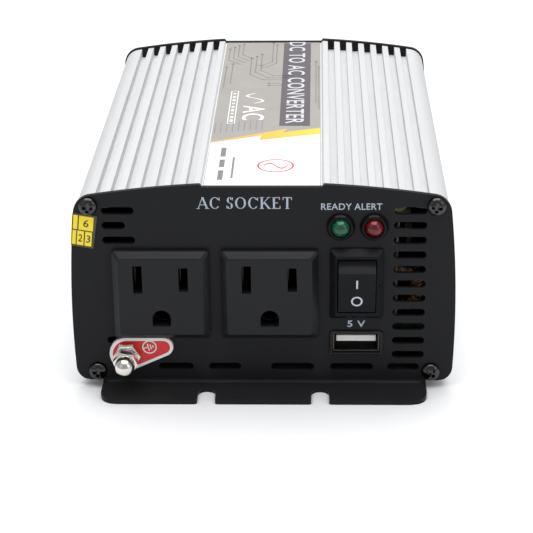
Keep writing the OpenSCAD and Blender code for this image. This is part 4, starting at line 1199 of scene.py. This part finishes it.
def hexNut(flats, bore, thick, turn, domed=None):
    # hexagon with its corners turned down; the dome, if any, grows out of the front
    corner = flats / math.sqrt(3)
    loop = [(corner * math.cos(a), corner * math.sin(a))
            for a in (math.radians(turn + 60 * k) for k in range(6))]
    body = plate([loop], 0, thick)
    drop = 0.55
    turned = lathe([(0, 0), (corner - 0.9, 0), (corner + 0.05, drop), (corner + 0.05, thick - drop),
                    (corner - 0.9, thick), (0, thick)], steps=48)
    nut = carved(body, turned, "INTERSECT")
    if bore:
        nut = carved(nut, lathe([(0, -1), (bore, -1), (bore, thick + 1), (0, thick + 1)], steps=40))
    nut = beveled(nut, 0.12, 2)
    if domed:
        rise = 1.2
        collar = [(0, 0.4), (domed, 0.4), (domed, -rise)]
        cap = [(domed * math.cos(a), -rise - domed * math.sin(a))
               for a in (math.pi / 2 * k / 12 for k in range(1, 12))]
        nut = merged([(nut, 0), (lathe(collar + cap + [(0, -rise - domed)], steps=40), 0)])
    return nut


def tagOutline(inset):
    # a large and a small circle wrapped by one tight band
    big, small, far = 5.1 - inset, 2.9 - inset, Vector((10.1, 2.2))
    lean = math.degrees(math.asin((5.1 - 2.9) / far.length))
    base = heading(far)
    points = arcPoints(Vector((0, 0)), big, base + 90 - lean, base + 270 + lean, 36)
    return points + arcPoints(far, small, base - 90 + lean, base + 90 - lean, 24)


def buildEarth():
    own = earth
    at = middle("earth_stud")
    front = faceY
    spread = [Vector((p.x + at.x, p.y + at.z)) for p in tagOutline(0)]
    face = [Vector((p.x + at.x, p.y + at.z)) for p in tagOutline(own["tagEdge"])]
    hole = ringLoop(at.x, at.z, own["stud"] + 0.1, 32)
    red = plate([face, ringLoop(at.x, at.z, own["stud"] + 0.2, 32)], front - own["tag"] - 0.02,
                front - own["tag"] + 0.1)
    core = [Vector((p.x + at.x, p.y + at.z)) for p in tagOutline(-0.04)]
    line = plate([core, hole], front - 0.95, front - 0.65)
    symbolX, symbolZ = at.x + 6.3, at.z + 2.3
    ink = [plate([ringLoop(0, 0, 2.05, 40), ringLoop(0, 0, 1.72, 40)], -0.03, 0.03, lying=True)]
    stem = [(-1.55, 0.0, 1.5, 0.3), (-0.35, 0.0, 0.3, 2.3), (0.35, 0.0, 0.3, 1.5), (1.0, 0.0, 0.3, 0.75)]
    for x, z, w, h in stem:
        x = x + 0.55 if w > 1 else x
        ink.append(plate([boxLoop(x, z, w, h)], -0.03, 0.03, lying=True))
    marks = merged([(standing(moved(m, turn=12, axis="Z"), symbolX, front - own["tag"] - 0.04, symbolZ), 1)
                    for m in ink])
    tag = merged([(plate([spread, hole], front - own["tag"], front, 0.15), 1), (red, 0), (line, 0),
                  (marks, 1)])
    piece("earth_tag_plate", tag, [tagRed, tagWhite], stands=("earth_tag",))
    y = front - own["tag"] - own["nut"]
    nut = hexNut(own["flats"], own["stud"] + 0.05, own["nut"], 4)
    piece("earth_nut_hex", moved(nut, (at.x, y, at.z)), [nickel], stands=("earth_nut",))
    y -= own["washer"]
    ring = filleted([(2.2, y), (3.4, y), (3.4, y + own["washer"]), (2.2, y + own["washer"])], 0.12, 2)
    washer = lathe(ring, at.x, at.z, 48, closed=True)
    gap = moved(block((1, -1, -0.22), (5, 2, 0.22)), (at.x, y, at.z), -48)
    piece("earth_lock_washer", carved(washer, gap), [nickel], stands=("earth_spring_washer",))
    y -= own["cap"]
    cap = hexNut(own["capFlats"], None, own["cap"], -8, own["dome"])
    piece("earth_cap", moved(cap, (at.x, y, at.z)), [nickel], stands=("earth_cap_nut",))
    softened("earth_stud", 0.12, [nickel])


buildEarth()
print("earth terminal ready")


# ---- printing ----

legend = {"lift": 0.03}


def buildLegends():
    y = faceY - legend["lift"]
    lampsX = [middle("power_led").x, middle("fault_led").x]
    parts = [standing(serifWords("AC SOCKET", 26.1, 3.4), -4.85, y, 56.15),
             standing(lettering("READY", 8.4, 1.9), lampsX[0] - 1.2, y, 55.1),
             standing(lettering("ALERT", 7.6, 1.9), lampsX[1] - 1.7, y, 55.1),
             standing(lettering("5 V", 5.0, 2.0), middle("port_frame").x, y, 19.75)]
    piece("front_legends", merged([(p, 0) for p in parts]), [inkPale])


label = {"ink": 0.03, "bandLeft": 3.7, "bandRight": 12.9, "traces": [
    ([(-6.9, 122), (-6.9, 104), (-2.6, 98), (3.6, 98)], (1.7, 2.2), 3),
    ([(-14.9, 112), (-14.9, 90)], (2.0, 3.5), 2), ([(-14.6, 133), (-14.6, 120), (-10.4, 115)], (1.5, 2), 4),
    ([(1.4, 138), (1.4, 116), (-1.6, 112), (-3.4, 112)], (-1.3, 2), 2),
    ([(14.7, 118), (14.7, 74)], (0.9, -6), 2), ([(-0.4, 92), (3.6, 92)], (0, 2.2), 2)]}


def buildLabel():
    own = label
    low, high = span("top_label")
    top = high.z
    front, back, side = low.y, high.y, high.x
    layers = []

    def ink(loop, number, layer=1, holes=()):
        z = top + own["ink"] * (layer - 1)
        layers.append((plate([loop, *holes], z, z + own["ink"], lying=True), number))

    def words(text, x, y, width, height, number, turn=-90, layer=3):
        mesh = lettering(text, width, height, own["ink"])
        mesh.transform(Matrix.Rotation(math.radians(turn), 4, "Z"))
        layers.append((moved(mesh, (x, y, top + own["ink"] * layer)), number))

    layers.append((plate([boxLoop(0, (front + back) / 2, 2 * side, back - front, 0.8)], low.z, top,
                         0.05, lying=True), 0))
    lower = [(-side + 0.15, 36.9), (-1.3, 43.2), (-1.9, 39.1), (side - 0.15, 44.7)]
    upper = [(side - 0.15, 50.0), (4.8, 45.9), (6.3, 49.2), (-side + 0.15, 37.8)]
    ink([(-side + 0.2, front + 0.2), (side - 0.2, front + 0.2)]
        + [(x, faceY + y) for x, y in reversed(lower)], 1, 1)
    ink([(x, faceY + y) for x, y in lower + upper], 3, 2)
    ink(boxLoop((own["bandLeft"] + own["bandRight"]) / 2, (faceY + 52 + back - 1) / 2,
                own["bandRight"] - own["bandLeft"], back - 1 - faceY - 52), 2, 1)
    words("DC TO AC CONVERTER", 8.3, faceY + 97.5, 87, 5.6, 8)
    words("AC", -4.4, faceY + 64, 14, 6.8, 1)
    wave = []
    for k in range(25):
        t = k / 24
        wave.append(Vector((-4.4 + 2.6 * math.sin(2 * math.pi * t), faceY + 73.5 + 10 * t)))
    ribbon = [p + Vector((0.42, 0)) for p in wave] + [p - Vector((0.42, 0)) for p in reversed(wave)]
    ink(ribbon, 1, 2)
    frameY = faceY + 70
    ink(boxLoop(-10.9, frameY, 2.4, 32), 1, 2, [boxLoop(-10.9, frameY, 1.8, 31.4)])
    for k in range(9):
        ink(boxLoop(-10.9, frameY - 13.2 + 3.3 * k, 0.9, 2.2 - 0.5 * (k % 3)), 1, 2)
    for route, shift, repeats in own["traces"]:
        for k in range(repeats):
            points = [Vector((x + shift[0] * k, faceY + y + shift[1] * k)) for x, y in route]
            for first, second in zip(points, points[1:]):
                along = (second - first).normalized() * 0.14
                across = Vector((-along.y, along.x))
                ink([first - along - across, second + along - across, second + along + across,
                     first - along + across], 4, 1)
            ink(ringLoop(points[0].x, points[0].y, 0.5, 16), 4, 1)
    for k in range(9):
        x = -15.4 + 1.75 * k
        ink(boxLoop(x, faceY + 50 + 0.21 * (x + 16), 0.22, 9), 7, 1)
    badge = Vector((3.4, faceY + 17.5))
    ink(ringLoop(badge.x, badge.y, 5.2, 48), 6, 2, [ringLoop(badge.x, badge.y, 4.7, 48)])
    wave = [Vector((badge.x - 3.4 + 6.8 * k / 24, badge.y + 2.0 * math.sin(2 * math.pi * k / 24)))
            for k in range(25)]
    ink([p + Vector((0, 0.4)) for p in wave] + [p - Vector((0, 0.4)) for p in reversed(wave)], 6, 2)
    for k in range(3):
        ink(boxLoop(-11.8, faceY + 10 + 9.4 * k, 1.5, 7.6 - 1.4 * (k % 2)), 5, 2)
    ink(boxLoop(-8.6, faceY + 16, 0.6, 17), 5, 2)
    piece("top_label_print", merged(layers),
          [labelField, labelWhite, labelBand, labelYellow, labelLine, inkGrey, inkRed, inkViolet, inkText],
          stands=("top_label",))


def buildSticker():
    # its corners on the panel's face, with cells on a dark border
    low, high = span("date_sticker")
    y = low.y
    corners = [Vector((-51.7, 53.3)), Vector((-45.3, 52.2)), Vector((-46.8, 42.6)), Vector((-52.75, 43.6))]
    right, down = (corners[1] - corners[0]).normalized(), (corners[3] - corners[0]).normalized()

    def cell(u, v, w, h):
        start = corners[0] + right * u + down * v
        return [start, start + right * w, start + right * w + down * h, start + down * h]

    wide, tall = (corners[1] - corners[0]).length, (corners[3] - corners[0]).length
    layers = [(plate([corners], y + 0.02, faceY, 0.02), 1)]
    half = tall / 2
    cells = [("", 0.02, 0.5, 1.2, half - 0.75), ("6", 1.6, 0.5, wide - 2.5, half - 0.75),
             ("", 0.02, half + 0.1, 1.0, half - 0.7), ("2", 1.35, half + 0.1, 1.85, half - 0.7),
             ("3", 3.55, half + 0.1, 1.85, half - 0.7)]
    for number, u, v, w, h in cells:
        layers.append((plate([cell(u, v, w, h)], y, y + 0.03), 0))
        if number:
            mark = lettering(number, min(w * 0.62, 1.5), min(h * 0.62, 2.2), 0.02)
            mark.transform(Matrix.Rotation(math.radians(-9), 4, "Z"))
            at = corners[0] + right * (u + w / 2) + down * (v + h / 2)
            layers.append((standing(mark, at.x, y - 0.005, at.y), 1))
    # the rest is folded back along the housing's side
    bm = bmesh.new()
    zs = [43.6 + (53.0 - 43.6) * k / 8 for k in range(9)]
    for inner in (0.0, 0.14):
        for z in zs:
            x = -sideAt(z) - 0.16 + inner
            bm.verts.new((x, y + 0.1, z))
            bm.verts.new((x, high.y, z - 0.6))
    bm.verts.ensure_lookup_table()
    half = len(zs) * 2
    for base in (0, half):
        for k in range(len(zs) - 1):
            a = base + 2 * k
            bm.faces.new([bm.verts[i] for i in (a, a + 1, a + 3, a + 2)])
    rim = ([2 * k for k in range(len(zs))] + [2 * k + 1 for k in reversed(range(len(zs)))])
    for first, second in zip(rim, rim[1:] + rim[:1]):
        bm.faces.new([bm.verts[i] for i in (first, second, second + half, first + half)])
    bmesh.ops.recalc_face_normals(bm, faces=bm.faces)
    layers.append((keep(bm), 0))
    piece("date_sticker_print", merged(layers), [stickerYellow, stickerInk],
          stands=("date_sticker",))


buildLegends()
buildLabel()
buildSticker()
print("printing ready")


# ---- rear side ----

guard = {"wire": 0.72, "rings": 4, "firstRing": 4.6, "ringPitch": 4.1, "bolt": 16}


def makeGuardTree():
    # evenly spaced rings of round wire
    tree, given = geometryTree("wireRings", [
        ("Ring Count", "Int"), ("First Ring", "Float"), ("Ring Pitch", "Float"),
        ("Wire Radius", "Float"), ("Centre", "Vector"), ("Finish", "Material")])
    points = addNode(tree, "GeometryNodePoints",
                     {"Count": given["Ring Count"], "Position": given["Centre"]})
    circle = addNode(tree, "GeometryNodeCurvePrimitiveCircle", {"Resolution": 72, "Radius": 1.0})
    index = addNode(tree, "GeometryNodeInputIndex").outputs[0]
    radius = calc(tree, "ADD", given["First Ring"], calc(tree, "MULTIPLY", index, given["Ring Pitch"]))
    size = addNode(tree, "ShaderNodeCombineXYZ", {"X": radius, "Y": radius, "Z": radius})
    rings = addNode(tree, "GeometryNodeInstanceOnPoints",
                    {"Points": points.outputs[0], "Instance": circle.outputs[0],
                     "Rotation": (math.pi / 2, 0, 0), "Scale": size.outputs[0]})
    real = addNode(tree, "GeometryNodeRealizeInstances", {"Geometry": rings.outputs[0]})
    section = addNode(tree, "GeometryNodeCurvePrimitiveCircle",
                      {"Resolution": 10, "Radius": given["Wire Radius"]})
    wire = addNode(tree, "GeometryNodeCurveToMesh",
                   {"Curve": real.outputs[0], "Profile Curve": section.outputs[0]})
    return closeTree(tree, wire.outputs[0], given["Finish"])


def wirePath(points, radius, steps=10, bend=0.0):
    # a round wire along a path, its bends eased and its ends closed
    route = points
    if bend:
        route = [Vector(p) for p in filleted([Vector(q) for q in points], bend, 5, False)]
    curve = bpy.data.curves.new("wire", "CURVE")
    curve.dimensions = "3D"
    spline = curve.splines.new("POLY")
    spline.points.add(len(route) - 1)
    for point, at in zip(spline.points, route):
        point.co = (*at, 1)
    curve.bevel_depth, curve.bevel_resolution, curve.use_fill_caps = radius, steps // 3, True
    return viaObject(curve, lambda obj: None)


def buildFan():
    own = guard
    low, high = span("fan_guard")
    at = middle("fan_frame")
    y = (low.y + high.y) / 2
    rings = grown(keep(bmesh.new()), makeGuardTree(), {
        "Ring Count": own["rings"], "First Ring": own["firstRing"], "Ring Pitch": own["ringPitch"],
        "Wire Radius": own["wire"], "Centre": (at.x, y, at.z), "Finish": nickel})
    reach = own["bolt"] - 1.7
    parts = [(rings, 0)]
    for side in (-1, 1):
        parts.append((wirePath([(at.x - reach, y, at.z - side * reach),
                                (at.x + reach, y, at.z + side * reach)], own["wire"]), 0))
    eye = lathe([(2.45 + own["wire"] * 0.95 * math.cos(a), own["wire"] * math.sin(a))
                 for a in (2 * math.pi * k / 10 for k in range(10))], steps=32, closed=True)
    spots = [(at.x + x * own["bolt"], y, at.z + z * own["bolt"]) for x in (-1, 1) for z in (-1, 1)]
    parts.append((copies(eye, spots, nickel), 0))
    piece("fan_guard_wire", merged(parts), [nickel], stands=("fan_guard",), smooth=60)
    nutLow, nutHigh = span("fan_nuts")
    nut = hexNut(5.5, 1.55, nutHigh.y - nutLow.y, 0)
    nuts = copies(nut, [(x, nutLow.y, z) for x, _, z in spots], nickel, math.pi, 4)
    piece("fan_nut_set", nuts, [nickel], stands=("fan_nuts",))
    softened("fan_frame", 0.3, [fanResin])
    softened("fan_stator", 0.2, [copper])


impeller = {"hub": 8.5, "tip": 18.3, "blades": 7, "thick": 1.0, "pitchRoot": 46, "pitchTip": 30}


def buildImpeller():
    own = impeller
    at = middle("fan_frame")
    low, high = span("fan_rotor")
    start, deep = 62.2, 7.0
    bm = bmesh.new()
    across, along = 9, 8
    grid = []
    for i in range(across + 1):
        r = own["hub"] - 0.25 + (own["tip"] - own["hub"] + 0.25) * i / across
        pitch = math.radians(own["pitchRoot"] + (own["pitchTip"] - own["pitchRoot"]) * i / across)
        row = []
        for k in range(along + 1):
            t = k / along - 0.5
            depth = deep * 0.9 * t
            swing = (depth / math.tan(pitch)) / r + 0.10 * math.sin(math.pi * (t + 0.5)) + 0.012 * i
            row.append(bm.verts.new((r * math.cos(swing), depth, r * math.sin(swing))))
        grid.append(row)
    for i in range(across):
        for k in range(along):
            bm.faces.new((grid[i][k], grid[i + 1][k], grid[i + 1][k + 1], grid[i][k + 1]))

    def thicken(obj):
        wall = obj.modifiers.new("wall", "SOLIDIFY")
        wall.thickness, wall.offset = own["thick"] * 0.8, 0
    blade = beveled(viaObject(keep(bm), thicken), 0.15, 2, 50)
    centre = (at.x, start + deep / 2, at.z)
    blades = ringed(blade, own["blades"], centre, fanResin)
    hub = filleted([(0, high.y), (own["hub"], high.y), (own["hub"], start),
                    (own["hub"] - 1.2, start), (own["hub"] - 1.2, high.y - 1.4),
                    (1.0, high.y - 1.4), (1.0, low.y), (0, low.y)], 0.3, 3, False)
    mesh = merged([(blades, 0), (lathe(hub, at.x, at.z, 56), 0)])
    piece("fan_impeller", mesh, [fanResin], "rotor", ("fan_rotor",), 45)


def buildTerminals():
    for name, colour in (("negative", knobBlack), ("positive", knobRed)):
        softened(name + "_post", 0.25, [nickel])
        softened(name + "_insulator", 0.4, [colour], segments=3)
        softened(name + "_insert", 0.15, [brass], name + "_sleeve")
        softened(name + "_knob", 0.45, [colour], name + "_cap", segments=3)


buildFan()
buildImpeller()
buildTerminals()
print("rear side ready")


# ---- electronics ----

choke = {"turns": 17, "ring": 5.5, "halfWidth": 2.05, "halfDepth": 3.5, "wire": 0.5}


def makeWindingTree():
    # one wire wound round a ring core with a rounded square section
    tree, given = geometryTree("windings", [
        ("Turns", "Float"), ("Ring Radius", "Float"), ("Half Width", "Float"),
        ("Half Depth", "Float"), ("Wire Radius", "Float"), ("Centre", "Vector"),
        ("Finish", "Material")])
    line = addNode(tree, "GeometryNodeMeshLine", {"Count": 700})
    path = addNode(tree, "GeometryNodeMeshToCurve", {"Mesh": line.outputs[0]})
    index = addNode(tree, "GeometryNodeInputIndex").outputs[0]
    share = calc(tree, "DIVIDE", index, 699.0)
    around = calc(tree, "MULTIPLY", share, 2 * math.pi * 0.93)
    wind = calc(tree, "MULTIPLY", calc(tree, "MULTIPLY", share, given["Turns"]), 2 * math.pi)

    def squared(function):
        value = calc(tree, function, wind)
        size = calc(tree, "POWER", calc(tree, "ABSOLUTE", value), 0.42)
        return calc(tree, "MULTIPLY", calc(tree, "SIGN", value), size)
    reach = calc(tree, "ADD", given["Ring Radius"],
                 calc(tree, "MULTIPLY", squared("COSINE"), given["Half Width"]))
    depth = calc(tree, "MULTIPLY", squared("SINE"), given["Half Depth"])
    place = addNode(tree, "ShaderNodeCombineXYZ", {
        "X": calc(tree, "MULTIPLY", reach, calc(tree, "COSINE", around)), "Y": depth,
        "Z": calc(tree, "MULTIPLY", reach, calc(tree, "SINE", around))})
    spot = addNode(tree, "ShaderNodeVectorMath", {0: place.outputs[0], 1: given["Centre"]},
                   operation="ADD")
    shaped = addNode(tree, "GeometryNodeSetPosition",
                     {"Geometry": path.outputs[0], "Position": spot.outputs[0]})
    section = addNode(tree, "GeometryNodeCurvePrimitiveCircle",
                      {"Resolution": 8, "Radius": given["Wire Radius"]})
    wire = addNode(tree, "GeometryNodeCurveToMesh",
                   {"Curve": shaped.outputs[0], "Profile Curve": section.outputs[0],
                    "Fill Caps": True})
    return closeTree(tree, wire.outputs[0], given["Finish"])


def buildChoke():
    own = choke
    at = middle("choke_core")
    coil = grown(keep(bmesh.new()), makeWindingTree(), {
        "Turns": float(own["turns"]), "Ring Radius": own["ring"], "Half Width": own["halfWidth"],
        "Half Depth": own["halfDepth"], "Wire Radius": own["wire"], "Centre": at, "Finish": copper})
    piece("choke_winding", coil, [copper], stands=("choke_coil",), smooth=60)
    softened("choke_core", 0.5, [ringCore], segments=3)


def buildBoardParts():
    softened("main_board", 0.1, [solderMask])
    softened("control_board", 0.1, [solderMask])
    softened("transformer_core", 0.3, [ferrite])
    softened("transformer_coil", 0.5, [windingTape], segments=3)
    softened("capacitors", 0.6, [sleeve, canTop], segments=3,
             paint=lambda at, normal: 1 if normal.z > 0.95 else 0)
    softened("fuses", 0.25, [fuseAmber, nickel],
             paint=lambda at, normal: 1 if at.z < 14.5 else 0)
    softened("transistors", 0.2, [chipBlack, nickel],
             paint=lambda at, normal: 1 if at.z < 16.4 else 0)
    softened("thermal_pads", 0.05, [padGrey])
    softened("clamp_bars", 0.2, [alloy])
    softened("clamp_screws", 0.12, [nickel])


def buildLeads():
    boardTop = span("main_board")[1].z
    parts = []
    for node in ("left_outlet", "right_outlet"):
        at = middle(node)
        start = span("outlet_leads")[0].y
        high = at.z + 5.3
        for side in (-1, 1):
            x = at.x + side * 6.35
            parts.append((wirePath([(x, start, high), (x, start + 3.7, high),
                                    (x, start + 6.7, high - 8), (x, start + 6.7, boardTop)],
                                   0.85, bend=1.6), 0))
    piece("outlet_wires", merged(parts), [leadWhite], stands=("outlet_leads",),
          smooth=60)
    parts = []
    for number, (name, run) in enumerate((("negative", 50.5), ("positive", 55.5))):
        at = middle(name + "_post")
        start = span(name + "_post")[0].y
        parts.append((wirePath([(at.x, start, at.z), (at.x, run, at.z), (at.x, run, boardTop)],
                               1.6, bend=2.6), number))
    piece("battery_wires", merged(parts), [leadBlack, leadRed], stands=("battery_leads",),
          smooth=60)


connector = {"place": (38.9, -64.2, 49.7), "size": (4.2, 5.0, 2.3), "bead": (37.6, -64, 53.3),
             "route": [(0, -61.5, 49.7), (0, -58, 49.7), (0, -52, 40), (0, -48.6, 30), (0, -48.6, 9.6)]}


def buildConnector():
    # a plug on two thin leads, with a filter bead beside it
    own = connector
    at, size = Vector(own["place"]), Vector(own["size"])
    plug = beveled(block(at - size / 2, at + size / 2), 0.3)
    bead = lathe([(1.75 + 0.7 * math.cos(a), 1.3 * math.sin(a))
                  for a in (2 * math.pi * k / 12 for k in range(12))], steps=32, closed=True)
    x, y, z = own["bead"]
    parts = [(plug, 0), (moved(bead, (x, y, z)), 1),
             (wirePath([(x - 1.75, y - 2.4, z - 0.9), (x - 1.75, y + 2.6, z - 0.9),
                        (at.x - 1, at.y + 2.6, at.z)], 0.28, bend=0.6), 2)]
    for side in (-0.9, 0.9):
        route = [(at.x - 1.6 + side, py, pz) for _, py, pz in own["route"]]
        parts.append((wirePath(route, 0.45, bend=2.0), 0))
    piece("sense_connector", merged(parts), [leadWhite, ringCore, copper], smooth=50)


buildConnector()
buildChoke()
buildBoardParts()
buildLeads()
print("electronics ready")


# ---- camera, floor and lights ----

view = {"place": (15.07, -511.14, 228.79), "pitch": 23.527, "yaw": -1.823, "roll": 0.671,
        "lens": 116.93}


def placeCamera():
    pitch, yaw, roll = (math.radians(view[k]) for k in ("pitch", "yaw", "roll"))
    level = math.cos(pitch)
    forward = Vector((math.sin(yaw) * level, math.cos(yaw) * level, -math.sin(pitch)))
    right = Vector((math.cos(yaw), -math.sin(yaw), 0))
    down = forward.cross(right)
    across = math.cos(roll) * right + math.sin(roll) * down
    below = -math.sin(roll) * right + math.cos(roll) * down
    camera = bpy.data.cameras.new("camera")
    camera.lens, camera.sensor_width = view["lens"], 36
    camera.clip_start, camera.clip_end = 0.02, 50
    obj = linked("camera", camera)
    turn = Matrix((across, -below, -forward)).transposed()
    obj.matrix_world = Matrix.Translation(Vector(view["place"]) * mm) @ turn.to_4x4()
    scene.camera = obj


def areaLight(name, place, target, size, power):
    light = bpy.data.lights.new(name, "AREA")
    light.shape, light.size, light.size_y = "RECTANGLE", size[0], size[1]
    light.energy = power
    obj = linked(name, light)
    obj.location = place
    obj.rotation_euler = (Vector(target) - Vector(place)).to_track_quat("-Z", "Y").to_euler()


def buildStudio():
    bm = bmesh.new()
    bmesh.ops.create_grid(bm, x_segments=1, y_segments=1, size=6)
    floor = linked("floor", keep(bm))
    floor.data.materials.append(finish("paperFloor", (0.86, 0.86, 0.865), 0.6, tooth=0.6, depth=0.004,
                                       vary=0.006))
    world = bpy.data.worlds.new("studio")
    world.use_nodes = True
    world.node_tree.nodes["Background"].inputs[0].default_value = (0.93, 0.95, 1.0, 1)
    world.node_tree.nodes["Background"].inputs[1].default_value = 0.46
    scene.world = world
    scene.view_settings.view_transform = "Standard"
    areaLight("overhead", (0.0, 0.10, 0.85), (0, 0.02, 0), (1.0, 1.25), 12.4)
    areaLight("frontLeft", (-0.75, -0.75, 0.55), (0, 0, 0.03), (0.5, 0.7), 0.35)
    areaLight("frontRight", (0.8, -0.6, 0.5), (0, 0, 0.03), (0.5, 0.7), 1.3)


placeCamera()
buildStudio()
print("studio ready")
